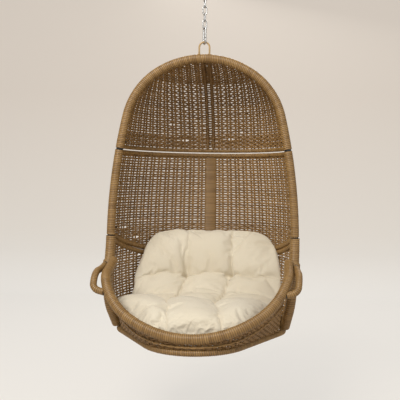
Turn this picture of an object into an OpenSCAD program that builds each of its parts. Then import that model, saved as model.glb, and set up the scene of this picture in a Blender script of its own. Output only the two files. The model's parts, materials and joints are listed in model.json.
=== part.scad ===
// Hanging egg chair: three bolted wicker sections on a short length of chain under a ceiling plate.
// Millimetres, Z up, the open front faces -Y. The origin is the mounting face of the ceiling plate.
// Levels named w are counted from the middle of the back; lift turns them into heights.

/* [Chain] */
// Wire diameter of a chain link
chain_wire = 5; // [4:0.5:6]
// Inner length of a chain link
link_inner = 27.8; // [25:0.1:32]
// Distance of a link's side from its middle, to the wire centre
link_half = 7.5; // [7.2:0.1:9]
// Turn of the chain and hook about the vertical
chain_turn = 25; // [0:1:30]
// Running clearance between hooked wires
wire_gap = 0.3; // [0.2:0.05:0.4]

/* [Hook] */
// Wire diameter of the snap hook
hook_wire = 7; // [6:0.5:8]
// Outside length of the snap hook
hook_length = 74; // [70:1:84]
// Distance of the hook's side from its middle, to the wire centre
hook_half = 12; // [11:0.5:14]
// Wire diameter of the hanging loop
loop_wire = 7; // [6:0.5:8]
// Distance of the loop's leg from its middle, to the wire centre
loop_half = 20.5; // [18:0.5:24]
// Straight leg of the loop above the arch tube
loop_leg = 30; // [26:1:36]

/* [Ceiling plate] */
// Side of the square ceiling plate
plate_side = 80; // [70:1:100]
// Thickness of the ceiling plate
plate_t = 5; // [4:0.5:8]
// Hole spacing of the ceiling plate
plate_pitch = 56; // [48:1:64]
// Screw hole diameter
plate_hole = 6.5; // [5:0.5:8]
// Wire diameter of the ceiling eye
eye_wire = 8; // [7:0.5:9]
// Distance of the eye's leg from its middle, to the wire centre
eye_half = 12; // [11:0.5:15]

/* [Tubes] */
// Outer diameter of the frame tube
tube_d = 28; // [26:1:30]
// Wall of the frame tube
tube_wall = 1.5; // [1.2:0.1:2.5]
// Thickness of the wicker wrap on the canopy and back tubes
wrap_t = 3; // [2.5:0.5:4]
// Thickness of the wicker wrap on the seat posts
seat_wrap_t = 5; // [4:0.5:6]
// Diameter of the rail rods
rail_d = 10; // [8:1:12]
// Thickness of the wicker wrap on the rails
rail_wrap_t = 3.5; // [3:0.5:4.5]
// Diameter of the spine rods
spine_d = 8; // [7:0.5:9]
// Diameter of the base ring rod
ring_d = 14; // [12:1:16]
// Thickness of the wicker wrap on the base ring
ring_wrap_t = 4; // [3:0.5:5]
// Bare steel shown at the canopy joint
gap_canopy = 8; // [6:0.5:10]
// Bare steel shown at the seat joint
gap_seat = 5; // [4:0.5:8]

/* [Shape] */
// Half width between the seat posts, to the tube centres
post_half = 371; // [360:1:385]
// Bending radius of the long posts
side_r = 2300; // [2200:10:2500]
// Bending radius of the arch's shoulders
shoulder_r = 285; // [275:1:295]
// Turn of each shoulder bend
shoulder_turn = 45.5; // [43:0.5:48]
// Height of the canopy joint
w_canopy = 113; // [100:1:125]
// Height of the seat joint at the posts
w_seat = -234; // [-245:1:-225]
// Depth of the back, from the posts
back_depth = 362; // [350:1:375]
// Fall of the seat joint towards the back
split_tilt = 20.8; // [18:0.1:23]
// Height of the rim's rear ends, at the posts' collars
w_collar = -338; // [-345:1:-330]
// Height of the rim at the middle of the front
w_front = -557; // [-562:1:-552]
// Reach of the rim in front of the joints
rim_front = 380; // [370:1:390]
// Forward bend of the seat posts
knee = 90; // [80:1:100]
// Height of the base ring
w_ring = -607; // [-615:1:-600]
// Thickness of the woven panels
weave_t = 5; // [4:0.5:6]
// Width of one row of cushion cells, side to side
cell = 195; // [185:1:200]

/* [Hidden] */
$fn = 48;
cr = chain_wire / 2;
hr = hook_wire / 2;
lr = loop_wire / 2;
er = eye_wire / 2;
tr = tube_d / 2;
ti = tr - tube_wall;
wr = tr + wrap_t;
sr = tr + seat_wrap_t;
rr = rail_d / 2;
rw = rr + rail_wrap_t;
pr = spine_d / 2;
gr = ring_d / 2;
gw = gr + ring_wrap_t;
fit = 0.2;

// Heights down the chain
eye_leg = 14;
z_eye = -plate_t - eye_leg - eye_half;
z_top1 = z_eye + er + cr + wire_gap;
link_c = link_inner + chain_wire;
link_step = link_inner - wire_gap;
function z_top(k) = z_top1 - link_step * (k - 1);
z_hook = z_top(5) - link_c + cr + hr + wire_gap;
hook_c = hook_length - hook_wire;
z_loop = z_hook - hook_c + hr + lr + wire_gap;

// Front outline: tangent arcs in the plane of the posts
cd = [post_half - side_r, -280];
a_seat = asin((w_seat - cd[1]) / side_r);
a_canopy = asin((w_canopy - cd[1]) / side_r);
a_side = a_canopy + 3.4;
cb = [cd[0] + (side_r - shoulder_r) * cos(a_side), cd[1] + (side_r - shoulder_r) * sin(a_side)];
a_top = a_side + shoulder_turn;
top_r = shoulder_r + cb[0] / cos(a_top);
ca = [0, cb[1] + (shoulder_r - top_r) * sin(a_top)];
apex = ca[1] + top_r;
low_r = 1320;
ce = [post_half - low_r, cd[1]];
a_ring = asin((w_ring - ce[1]) / low_r);
lift = z_loop - loop_half - loop_leg - tr - apex;

function out_x(w) =
  w > cb[1] + shoulder_r * sin(a_top) ? sqrt(max(0, top_r * top_r - pow(w - ca[1], 2))) :
  w > cd[1] + side_r * sin(a_side) ? cb[0] + sqrt(shoulder_r * shoulder_r - pow(w - cb[1], 2)) :
  w > cd[1] ? cd[0] + sqrt(side_r * side_r - pow(w - cd[1], 2)) :
  ce[0] + sqrt(low_r * low_r - pow(w - ce[1], 2));

// Back profile: tangent arcs in the middle plane
back_r = 1270;
wb = -100;
cbk = [back_depth - back_r, wb];
b_can = asin((w_canopy - wb) / back_r);
y_can = cbk[0] + back_r * cos(b_can);
rise = apex - w_canopy;
k_c = cos(b_can);
k_s = sin(b_can);
h45 = sqrt(0.5);
k1 = (rise - y_can * (1 - h45) / h45) / ((h45 - k_s) - (k_c - h45) * (1 - h45) / h45);
k2 = (y_can - k1 * (k_c - h45)) / h45;
ck1 = [y_can - k1 * k_c, w_canopy - k1 * k_s];
ck2 = [0, ck1[1] + (k1 - k2) * h45];
m_split = tan(split_tilt);
w_back = w_seat - m_split * (back_depth - 27);
b_low = asin((w_back - wb) / back_r);
y_back = cbk[0] + back_r * cos(b_low);
bowl_r = 450;
cbo = [y_back - bowl_r * cos(b_low), w_back - bowl_r * sin(b_low)];
y_ring = cbo[0] + sqrt(bowl_r * bowl_r - pow(w_ring - cbo[1], 2));

function out_y(w) =
  w > ck1[1] + k1 * h45 ? sqrt(max(0, k2 * k2 - pow(w - ck2[1], 2))) :
  w > w_canopy ? ck1[0] + sqrt(k1 * k1 - pow(w - ck1[1], 2)) :
  w > w_back ? cbk[0] + sqrt(back_r * back_r - pow(w - wb, 2)) :
  cbo[0] + sqrt(bowl_r * bowl_r - pow(w - cbo[1], 2));

// A U of three tangent arcs: half width a, depth b, side arcs turning by t
function u_side(a, b, t) = (b - a * (1 - sin(t)) / cos(t)) / (sin(t) - (1 - cos(t)) * (1 - sin(t)) / cos(t));
function u_end(a, b, t) = (a - (1 - cos(t)) * u_side(a, b, t)) / cos(t);

// A front curve: arc of radius f turning by g each side, a straight, a corner arc; half width a, reach b
function f_corner(a, b, f, g) =
  ((b - f * (1 - cos(g))) * cos(g) - (a - f * sin(g)) * sin(g)) / (cos(g) * cos(g) - (1 - sin(g)) * sin(g));
function f_bar(a, b, f, g) = (a - f * sin(g) - (1 - sin(g)) * f_corner(a, b, f, g)) / cos(g);

ring_a = out_x(w_ring);
ring_b = rim_front - 5;
ring_f = 0.6215 * ring_a;
ring_g = atan(1.4077 * ring_b / ring_a);

// A point of a front curve at the share s of its half length, 0 in front and 1 at the post
function f_len(a, b, f, g) = f * g * PI / 180 + f_bar(a, b, f, g) + f_corner(a, b, f, g) * (90 - g) * PI / 180;
function f_point(a, b, f, g, s) =
  let (d = s * f_len(a, b, f, g), d1 = f * g * PI / 180, d2 = d1 + f_bar(a, b, f, g), c = f_corner(a, b, f, g))
  d <= d1 ? [f * sin(d / f * 180 / PI), -b + f - f * cos(d / f * 180 / PI)] :
  d <= d2 ? [f * sin(g) + (d - d1) * cos(g), -b + f - f * cos(g) + (d - d1) * sin(g)] :
  let (q = g + (d - d2) / c * 180 / PI)
  [a - c + c * sin(q), -c * cos(q)];
function mir(p, s) = s < 0 ? [-p[0], p[1]] : p;

// A curve through keys [point, direction]: two tangent arcs between neighbours, each [start, direction, end]
function unit(v) = v / norm(v);
function span_mid(a, b) =
  let (v = b[0] - a[0], t0 = unit(a[1]), t1 = unit(b[1]), t = t0 + t1, k = 1 - t0 * t1,
    d = (sqrt(pow(v * t, 2) + 2 * k * (v * v)) - v * t) / (2 * k))
  (a[0] + b[0] + d * (t0 - t1)) / 2;
function arcs_of(keys) = [for (i = [0 : len(keys) - 2])
  let (a = keys[i], b = keys[i + 1], m = span_mid(a, b))
  each [[a[0], unit(a[1]), m], [b[0], -unit(b[1]), m]]];
function arc_turn(c) = 2 * acos(unit(c[2] - c[0]) * c[1]);
function arc_r(c) = norm(c[2] - c[0]) / 2 / sin(arc_turn(c) / 2);
function arc_n(c) = let (e = c[2] - c[0]) unit(e - (e * c[1]) * c[1]);
function arc_len(c) = arc_r(c) * arc_turn(c) * PI / 180;
function arc_at(c, t) =
  let (r = arc_r(c), n = arc_n(c), a = arc_turn(c) * t) c[0] + r * n + r * (sin(a) * c[1] - cos(a) * n);
function arc_end(c) = let (e = unit(c[2] - c[0])) 2 * (e * c[1]) * e - c[1];
function curve_len(k, i = 0) = i == len(k) ? 0 : arc_len(k[i]) + curve_len(k, i + 1);
function curve_at(k, d, i = 0) =
  let (l = arc_len(k[i]))
  d <= l || i == len(k) - 1 ? arc_at(k[i], min(1, i % 2 == 0 ? d / l : 1 - d / l)) : curve_at(k, d - l, i + 1);

// The rim's right half, from the middle of the front to the collar
rim_keys = [
  [[0, -rim_front, w_front], [1, 0, 0]],
  [[0.604 * post_half, -0.889 * rim_front, w_collar + 0.73 * (w_front - w_collar)], [0.81, 0.38, 0.45]],
  [[0.876 * post_half, -0.639 * rim_front, w_collar + 0.292 * (w_front - w_collar)], [0.36, 0.66, 0.66]],
  [[post_half - 25, -60, w_collar + 8], [0.06, 0.93, 0.36]]
];
rim_arcs = arcs_of(rim_keys);
rim_len = curve_len(rim_arcs);
function rim_point(s) = let (p = curve_at(rim_arcs, abs(s) * rim_len)) [s < 0 ? -p[0] : p[0], p[1], p[2]];
function rim_dir(s) = unit(rim_point(min(1, s + 0.01)) - rim_point(max(-1, s - 0.01)));

// The right seat post, from the joint to the ring
w_knee = w_seat + 0.6 * (w_ring - w_seat);
w_end = w_ring + gw + 12;
post_keys = [
  [[out_x(w_seat), 0, w_seat], [sin(a_seat), 0, -cos(a_seat)]],
  [[out_x(w_knee) - 2, -knee, w_knee], [-0.1, -0.06, -1]],
  [[out_x(w_end), -0.39 * knee, w_end], [-0.16, 0.56, -0.82]]
];
post_arcs = arcs_of(post_keys);
post_len = curve_len(post_arcs);
post_tab = [for (i = [24 : -1 : 0]) let (p = curve_at(post_arcs, post_len * i / 24)) [p[2], p[1]]];
function post_y(w) = lookup(w, post_tab);

// The right handle, from the collar out and forward to the rim
collar_mid = post_arcs[0][2];
collar_dir = arc_end(post_arcs[0]);
handle_keys = [
  [[post_half + 2, -50, w_collar - 2], [0.11, -0.93, -0.32]],
  [[post_half + 6, -0.621 * rim_front, w_collar + 0.256 * (w_front - w_collar)], [-0.1, -0.66, -0.75]],
  [rim_point(0.62), [-0.86, -0.42, 0.05]]
];
handle_arcs = arcs_of(handle_keys);
function ring_point(s) =
  let (p = mir(f_point(ring_a, ring_b, ring_f, ring_g, abs(s)), s)) [p[0], p[1], w_ring];

// ---- Helpers ----
module ring2d(ro, ri) {
  difference() {
    circle(ro);
    if (ri > 0) circle(ri);
  }
}

// Part of a ring in the XY plane
module bend(c, r, a0, a1, ro, ri = 0) {
  translate([c[0], c[1], 0])
    rotate([0, 0, a0])
      rotate_extrude(angle = a1 - a0)
        translate([r, 0]) ring2d(ro, ri);
}

// A straight piece in the XY plane
module bar(p, q, ro, ri = 0) {
  d = q - p;
  translate([p[0], p[1], 0])
    rotate([0, 0, atan2(d[1], d[0])])
      rotate([0, 90, 0])
        linear_extrude(norm(d)) ring2d(ro, ri);
}

// A frame tube is bent from pieces whose butted ends stay a hair apart
hair = 0.03;
module tbend(c, r, a0, a1, ro, ri = 0) {
  d = hair / r * 180 / PI;
  bend(c, r, a0 + d, a1 - d, ro, ri);
}

module tbar(p, q, ro, ri = 0) {
  e = (q - p) / norm(q - p) * hair;
  bar(p + e, q - e, ro, ri);
}

// An arc in space; d0 and d1 shorten its start and end
module arc3(c, ro, ri = 0, d0 = hair, d1 = hair) {
  r = arc_r(c);
  n = arc_n(c);
  z = cross(-n, c[1]);
  a0 = d0 / r * 180 / PI;
  a1 = d1 / r * 180 / PI;
  translate(c[0] + r * n)
    rotate([atan2(c[1][2], z[2]), asin(n[2]), atan2(-n[1], -n[0])])
      rotate([0, 0, a0])
        rotate_extrude(angle = arc_turn(c) - a0 - a1)
          translate([r, 0]) ring2d(ro, ri);
}

// All arcs of a curve; e0 and e1 shorten its two ends
module curve3(arcs, ro, ri = 0, e0 = hair, e1 = hair) {
  for (i = [0 : len(arcs) - 1])
    arc3(arcs[i], ro, ri, i == 0 ? e0 : i == len(arcs) - 1 ? e1 : hair);
}

// A straight rod of length h about the point p along the direction d
module rod_at(p, d, r, h) {
  translate(p)
    rotate([0, acos(unit(d)[2]), atan2(d[1], d[0])])
      cylinder(r = r, h = h, center = true);
}

module xz() {
  rotate([90, 0, 0]) children();
}

module yz() {
  rotate([90, 0, 90]) children();
}

module pair() {
  children();
  mirror([1, 0, 0]) children();
}

module lifted() {
  translate([0, 0, lift]) children();
}

module chained() {
  rotate([0, 0, chain_turn]) children();
}

// y0 trims both ends to that distance from the posts
module u_curve(a, b, t, ro, ri = 0, y0 = 0) {
  r1 = u_side(a, b, t);
  r2 = u_end(a, b, t);
  pair() tbend([a - r1, 0], r1, asin(y0 / r1), t, ro, ri);
  tbend([0, (r1 - r2) * sin(t)], r2, t, 180 - t, ro, ri);
}

module front_curve(a, b, f, g, ro, ri = 0, y0 = 0) {
  c = f_corner(a, b, f, g);
  l = f_bar(a, b, f, g);
  p = [f * sin(g), -b + f - f * cos(g)];
  tbend([0, -b + f], f, -90 - g, -90 + g, ro, ri);
  pair() tbar(p, p + l * [cos(g), sin(g)], ro, ri);
  pair() tbend([a - c, 0], c, g - 90, -asin(y0 / c), ro, ri);
}

// A closed sheet of thickness t about the grid m of points; f = 1 or -1 sets which side faces out
module sheet(m, t, f = 1) {
  n = len(m);
  k = len(m[0]);
  nn = [for (i = [0 : n - 1]) [for (j = [0 : k - 1])
    let (du = m[min(i + 1, n - 1)][j] - m[max(i - 1, 0)][j], dv = m[i][min(j + 1, k - 1)] - m[i][max(j - 1, 0)],
      c = cross(du, dv)) c / norm(c)]];
  up = [for (i = [0 : n - 1]) for (j = [0 : k - 1]) m[i][j] + nn[i][j] * t / 2 * f];
  dn = [for (i = [0 : n - 1]) for (j = [0 : k - 1]) m[i][j] - nn[i][j] * t / 2 * f];
  solid_grid(up, dn, n, k, f);
}

// Two grids of points, n by k, joined into one closed solid
module solid_grid(up, dn, n, k, f = 1) {
  o = n * k;
  q = concat(
    [for (i = [0 : n - 2]) for (j = [0 : k - 2]) [i * k + j, (i + 1) * k + j, (i + 1) * k + j + 1, i * k + j + 1]],
    [for (i = [0 : n - 2]) for (j = [0 : k - 2])
      [o + i * k + j, o + i * k + j + 1, o + (i + 1) * k + j + 1, o + (i + 1) * k + j]],
    [for (j = [0 : k - 2]) [j, j + 1, o + j + 1, o + j]],
    [for (j = [0 : k - 2]) [(n - 1) * k + j + 1, (n - 1) * k + j, o + (n - 1) * k + j, o + (n - 1) * k + j + 1]],
    [for (i = [0 : n - 2]) [(i + 1) * k, i * k, o + i * k, o + (i + 1) * k]],
    [for (i = [0 : n - 2]) [i * k + k - 1, (i + 1) * k + k - 1, o + (i + 1) * k + k - 1, o + i * k + k - 1]]);
  tri = [for (s = q) for (h = [0, 1]) h == 0 ? [s[0], s[1], s[2]] : [s[0], s[2], s[3]]];
  faces = f > 0 ? [for (s = tri) [s[2], s[1], s[0]]] : tri;
  polyhedron(points = concat(up, dn), faces = faces);
}

// ---- Ceiling plate, chain, hook ----
module ceiling_plate() {
  color("silver") {
    difference() {
      translate([-plate_side / 2, -plate_side / 2, -plate_t])
        cube([plate_side, plate_side, plate_t]);
      for (x = [-1, 1]) for (y = [-1, 1])
        translate([x * plate_pitch / 2, y * plate_pitch / 2, -plate_t - 1])
          cylinder(d = plate_hole, h = plate_t + 2);
    }
  }
}

// The eye stands across the top link, so that the link hooks on its round end
module ceiling_eye() {
  color("silver")
    chained() yz() {
      bend([0, z_eye + eye_half], eye_half, 180, 360, er);
      for (s = [-1, 1])
        bar([s * eye_half, z_eye + eye_half], [s * eye_half, -plate_t], er);
    }
}

// A link in the XZ plane; its top wire centre is at height z
module link_shape(z) {
  xz() {
    bend([0, z - link_half], link_half, 0, 180, cr);
    bend([0, z - link_c + link_half], link_half, 180, 360, cr);
    for (s = [-1, 1])
      bar([s * link_half, z - link_c + link_half], [s * link_half, z - link_half], cr);
  }
}

module chain_link_1() {
  color("silver") chained() link_shape(z_top(1));
}

module chain_link_2() {
  color("silver") chained() rotate([0, 0, 90]) link_shape(z_top(2));
}

module chain_link_3() {
  color("silver") chained() link_shape(z_top(3));
}

module chain_link_4() {
  color("silver") chained() rotate([0, 0, 90]) link_shape(z_top(4));
}

module chain_link_5() {
  color("silver") chained() link_shape(z_top(5));
}

// The hook lies in the YZ plane of the turned chain; its gate is on the -Y side
gate_lo = z_hook - hook_c + hook_half + 9;
gate_hi = z_hook - hook_half - 2;
tongue_t = 2.6;

module snap_hook() {
  color("gray")
    chained() {
      yz() {
        bend([0, z_hook - hook_half], hook_half, 0, 180, hr);
        bend([0, z_hook - hook_c + hook_half], hook_half, 180, 360, hr);
        bar([hook_half, z_hook - hook_c + hook_half], [hook_half, z_hook - hook_half], hr);
        bar([-hook_half, z_hook - hook_c + hook_half], [-hook_half, gate_lo - 6], hr);
        bar([-hook_half, gate_hi + 0.5], [-hook_half, z_hook - hook_half], hr);
      }
      difference() {
        union() {
          translate([-tongue_t / 2, -hook_half - hr + 0.6, gate_lo - 7])
            cube([tongue_t, hook_wire - 1.2, 7]);
          translate([-tongue_t / 2, -hook_half, gate_lo])
            rotate([0, 90, 0]) cylinder(r = hr - 0.6, h = tongue_t);
        }
        translate([-5, -hook_half, gate_lo])
          rotate([0, 90, 0]) cylinder(r = 1.3, h = 10);
      }
    }
}

module hook_gate() {
  color("gray")
    chained()
      difference() {
        translate([0, -hook_half, gate_lo - 4])
          cylinder(r = hr, h = gate_hi - gate_lo + 4);
        translate([-tongue_t / 2 - 0.4, -hook_half - hr - 1, gate_lo - 5])
          cube([tongue_t + 0.8, hook_wire + 2, 9.5]);
        translate([0, -hook_half, gate_lo + 4])
          cylinder(r = 1.9, h = 14);
        translate([-5, -hook_half, gate_lo])
          rotate([0, 90, 0]) cylinder(r = 1.5, h = 10);
      }
}

module gate_pin() {
  color("dimgray")
    chained()
      translate([-hr - 0.3, -hook_half, gate_lo])
        rotate([0, 90, 0]) {
          cylinder(r = 1.2, h = hook_wire + 0.6);
          translate([0, 0, -0.8]) cylinder(r = 2, h = 0.8);
          translate([0, 0, hook_wire + 0.6]) cylinder(r = 2, h = 0.8);
        }
}

// Spring and plunger inside the gate, as one closed sleeve with a foot
module gate_spring() {
  color("lightgray")
    chained()
      translate([0, -hook_half, gate_lo + hr - 0.3])
        difference() {
          cylinder(r = 1.6, h = 18 - hr);
          translate([0, 0, 3]) cylinder(r = 1, h = 18);
        }
}

// ---- Hanging loop ----
module loop_core(r) {
  xz() {
    bend([0, apex + tr + loop_leg], loop_half, 0, 180, r);
    for (s = [-1, 1])
      bar([s * loop_half, apex], [s * loop_half, apex + tr + loop_leg], r);
  }
}

module hanging_loop() {
  color("darkgoldenrod")
    lifted()
      difference() {
        loop_core(lr);
        xz() bend(ca, top_r, 75, 105, tr);
      }
}

// ---- Canopy section ----
module arch_top(ro, ri) {
  xz() tbend(ca, top_r, a_top, 180 - a_top, ro, ri);
}

module arch_shoulder(ro, ri) {
  xz() tbend(cb, shoulder_r, a_side, a_top, ro, ri);
}

module arch_side(ro, ri, cut) {
  d = cut / side_r * 180 / PI;
  xz() tbend(cd, side_r, a_canopy + d, a_side, ro, ri);
}

w_crail = w_canopy + 2 + rw;
w_trail = w_canopy - 2 - rw;
bolt_off = 30;

// The joint bolts come from inside the chair, behind the posts
module at_joint(w) {
  translate([out_x(w), 0, w]) rotate([0, 0, 45]) rotate([-90, 0, 0]) children();
}

module joint_bore(w) {
  at_joint(w) cylinder(r = 3.2, h = 40);
}

module canopy_arch() {
  color("dimgray")
    lifted() {
      arch_top(tr, ti);
      pair() arch_shoulder(tr, ti);
      pair()
        difference() {
          arch_side(tr, ti, 0.4);
          joint_bore(w_canopy + bolt_off);
        }
    }
}

module canopy_arch_wrap() {
  color("peru")
    lifted() {
      difference() {
        arch_top(wr, tr + fit);
        pair() translate([loop_half, 0, apex]) cylinder(r = lr + 0.3, h = 30);
        pair() translate([13, 6, apex]) rotate([-90, 0, 0]) cylinder(r = pr + 0.5, h = 20);
      }
      pair() arch_shoulder(wr, tr + fit);
      pair()
        difference() {
          arch_side(wr, tr + fit, gap_canopy / 2);
          joint_bore(w_canopy + bolt_off);
          translate([out_x(w_crail), 6, w_crail]) rotate([-90, 0, 0]) cylinder(r = rr + fit, h = 20);
        }
    }
}

module canopy_rail() {
  color("dimgray")
    lifted()
      translate([0, 0, w_crail]) u_curve(out_x(w_crail), out_y(w_crail), 45, rr, 0, tr);
}

module canopy_rail_wrap() {
  color("peru")
    lifted()
      difference() {
        translate([0, 0, w_crail]) u_curve(out_x(w_crail), out_y(w_crail), 45, rw, rr + fit, wr + fit);
        pair() translate([13, out_y(w_crail), w_crail]) cylinder(r = pr + 2.4, h = 20);
      }
}

module spine_path(x, w0, y1, ro, ri = 0) {
  a0 = asin((w0 - ck1[1]) / k1);
  translate([x, 0, 0])
    yz() {
      tbend(ck1, k1, a0, 45, ro, ri);
      tbend(ck2, k2, 45, acos(y1 / k2), ro, ri);
    }
}

module canopy_spine() {
  color("dimgray")
    lifted() pair() spine_path(13, w_crail + rr, tr + 0.1, pr);
}

module canopy_spine_wrap() {
  color("peru")
    lifted() pair() spine_path(13, w_crail + rw + 1.6, wr + 0.5, pr + 3.4, pr + fit);
}

// A point of the body at the level w and the bearing q, 0 at the right post and 90 behind
function body(w, q) = [out_x(w) * cos(q), out_y(w) * sin(q), w];
function q_post(w, y) = asin(min(1, y / out_y(w)));
function q_spine(w, x) = acos(min(1, x / out_x(w)));

module canopy_weave() {
  t0 = asin((w_crail + rw + 0.4 - wb) / (apex - wb));
  n = 15;
  k = 13;
  m = [for (i = [0 : n]) let (w = wb + (apex - wb) * sin(t0 + (81.5 - t0) * i / n),
    q0 = q_post(w, wr + 0.5), q1 = q_spine(w, 13 + pr + 3.4 + 0.5))
    [for (j = [0 : k]) body(w, q0 + (q1 - q0) * j / k)]];
  color("sienna")
    lifted() {
      sheet(m, weave_t);
      mirror([1, 0, 0]) sheet(m, weave_t);
    }
}

// ---- Joints between the sections ----
module canopy_spigots() {
  color("black")
    lifted()
      pair()
        difference() {
          xz() bend(cd, side_r, a_canopy - 1.4, a_canopy + 1.4, ti - 0.3, ti - 2.5);
          joint_bore(w_canopy + bolt_off);
        }
}

module seat_spigots() {
  color("black")
    lifted()
      pair()
        difference() {
          xz() bend(cd, side_r, a_seat - 0.15, a_seat + 1.4, ti - 0.3, ti - 2.5);
          joint_bore(w_seat + bolt_off);
        }
}

// One bolt through wrap, tube and spigot, with its nut inside the spigot
module bolt_at(w, y) {
  pair()
    at_joint(w) {
      translate([0, 0, ti - 8]) cylinder(r = 3, h = y - ti + 8);
      translate([0, 0, y]) cylinder(r = 5.5, h = 4);
    }
}

module nut_at(w) {
  pair()
    at_joint(w)
      difference() {
        translate([0, 0, ti - 8.3]) cylinder(r = 5, h = 4, $fn = 6);
        translate([0, 0, ti - 9]) cylinder(r = 3.1, h = 8);
      }
}

module joint_bolts() {
  color("black")
    lifted() {
      bolt_at(w_canopy + bolt_off, wr + 1.3);
      bolt_at(w_seat + bolt_off, wr + 0.3);
    }
}

module joint_nuts() {
  color("black")
    lifted() {
      nut_at(w_canopy + bolt_off);
      nut_at(w_seat + bolt_off);
    }
}

// ---- Back section ----
module back_posts() {
  color("dimgray")
    lifted()
      pair()
        difference() {
          xz() bend(cd, side_r, a_seat + 0.4 / side_r * 180 / PI, a_canopy - 0.4 / side_r * 180 / PI, tr, ti);
          joint_bore(w_seat + bolt_off);
        }
}

module back_post_wraps() {
  color("peru")
    lifted()
      pair()
        difference() {
          xz() bend(cd, side_r, a_seat + gap_seat / 2 / side_r * 180 / PI,
            a_canopy - gap_canopy / 2 / side_r * 180 / PI, wr, tr + fit);
          joint_bore(w_seat + bolt_off);
          translate([out_x(w_trail), 6, w_trail]) rotate([-90, 0, 0]) cylinder(r = rr + fit, h = 20);
        }
}

module back_top_rail() {
  color("dimgray")
    lifted()
      translate([0, 0, w_trail]) u_curve(out_x(w_trail), out_y(w_trail), 45, rr, 0, tr);
}

module back_top_rail_wrap() {
  color("peru")
    lifted()
      difference() {
        translate([0, 0, w_trail]) u_curve(out_x(w_trail), out_y(w_trail), 45, rw, rr + fit, wr + fit);
        pair() translate([20, out_y(w_trail), w_trail - 20]) cylinder(r = pr + 2.4, h = 20);
      }
}

// Rails along the falling split, in its own plane
split_off = 2 + rw;
w_brail = w_seat + split_off / cos(split_tilt);
w_srail = w_seat - split_off / cos(split_tilt);
split_b = y_back / cos(split_tilt);

// Its square ends stop beside the post of radius r
module split_rail(w, r, ro, ri = 0) {
  translate([0, 0, w])
    rotate([-split_tilt, 0, 0])
      u_curve(out_x(w), split_b, 45, ro, ri, (r + fit) / cos(split_tilt) + ro * tan(split_tilt));
}

module back_bottom_rail() {
  color("dimgray")
    lifted()
      split_rail(w_brail, wr, rr);
}

module back_bottom_rail_wrap() {
  color("peru")
    lifted()
      difference() {
        split_rail(w_brail, sr, rw, rr + fit);
        pair() translate([20, y_back, w_brail - m_split * y_back]) cylinder(r = pr + 2.4, h = 22);
      }
}

w_spine_lo = w_brail - m_split * y_back;

module back_spine() {
  a0 = asin((w_spine_lo + rr / cos(split_tilt) + 0.6 - wb) / back_r);
  a1 = asin((w_trail - rr - wb) / back_r);
  color("dimgray")
    lifted()
      pair() translate([20, 0, 0]) yz() bend(cbk, back_r, a0, a1, pr);
}

// A flat woven band round both spine rods
module back_spine_wrap() {
  a0 = asin((w_spine_lo + rw / cos(split_tilt) + 2.4 - wb) / back_r);
  a1 = asin((w_trail - rw - 0.4 - wb) / back_r);
  color("peru")
    lifted()
      yz()
        translate([cbk[0], cbk[1], 0])
          rotate([0, 0, a0])
            rotate_extrude(angle = a1 - a0)
              translate([back_r, 0])
                difference() {
                  union() {
                    square([13, 40], center = true);
                    for (s = [-1, 1]) translate([0, s * 20]) circle(6.5);
                  }
                  for (s = [-1, 1]) translate([0, s * 20]) circle(pr + fit);
                }
}

// Level of a point off the falling split by d, at the bearing q
function w_off(q, d) =
  let (e = d / cos(split_tilt), w = w_seat - m_split * y_back * sin(q) + e)
  w_seat - m_split * out_y(w) * sin(q) + e;

module back_weave() {
  n = 11;
  k = 14;
  m = [for (i = [0 : n]) [for (j = [0 : k]) let (
    w1 = w_trail - rw - 0.4,
    q0 = q_post(0, wr + 0.5),
    q1 = 85.1,
    q = q0 + (q1 - q0) * j / k,
    w0 = w_off(q, 2 * rw + 2.6))
    body(w0 + (w1 - w0) * i / n, q)]];
  color("sienna")
    lifted() {
      sheet(m, weave_t);
      mirror([1, 0, 0]) sheet(m, weave_t);
    }
}

// ---- Seat section ----
// Two bent halves that meet under the posts
module ring_path(ro, ri = 0) {
  translate([0, 0, w_ring]) {
    front_curve(ring_a, ring_b, ring_f, ring_g, ro, ri, 0.1);
    u_curve(ring_a, y_ring, 60, ro, ri, 0.1);
  }
}

// A point of the rear half of the ring at the bearing q
function rear_point(q) =
  let (t = 60, r1 = u_side(ring_a, y_ring, t), r2 = u_end(ring_a, y_ring, t), p = q > 90 ? 180 - q : q,
    h = p < t ? [ring_a - r1 + r1 * cos(p), r1 * sin(p)] : [r2 * cos(p), (r1 - r2) * sin(t) + r2 * sin(p)])
  [q > 90 ? -h[0] : h[0], h[1]];

module seat_posts() {
  color("dimgray")
    lifted() pair() curve3(post_arcs, tr, ti, 0.4, 0.4);
}

module seat_post_wraps() {
  color("peru")
    lifted() pair() curve3(post_arcs, sr, tr + fit, gap_seat / 2, 0.6);
}

// A band wound round each post where the rim and the handle leave it
module collar_wraps() {
  color("peru")
    lifted()
      pair()
        difference() {
          rod_at(collar_mid, collar_dir, sr + 4.7, 20);
          rod_at(collar_mid, collar_dir, sr + 0.8, 30);
        }
}

module seat_top_rail() {
  color("dimgray")
    lifted()
      split_rail(w_srail, sr, rr);
}

module seat_top_rail_wrap() {
  color("peru")
    lifted()
      split_rail(w_srail, sr, rw, rr + fit);
}

module collar_plug() {
  rod_at(collar_mid, collar_dir, sr + 5, 110);
}

module front_rim() {
  color("dimgray")
    lifted()
      pair()
        difference() {
          curve3(rim_arcs, tr, ti);
          collar_plug();
        }
}

module front_rim_wrap() {
  color("peru")
    lifted()
      pair()
        difference() {
          curve3(rim_arcs, tr + 4, tr + fit);
          collar_plug();
        }
}

module handle_shape(ro, ri) {
  pair()
    difference() {
      curve3(handle_arcs, ro, ri);
      collar_plug();
      curve3(rim_arcs, tr + 4 + fit, 0, hair, 0);
    }
}

module handle_loops() {
  color("dimgray") lifted() handle_shape(9.5, 8);
}

module handle_wraps() {
  color("peru") lifted() handle_shape(12.5, 9.5 + fit);
}

module base_ring() {
  color("dimgray") lifted() ring_path(gr);
}

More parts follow.
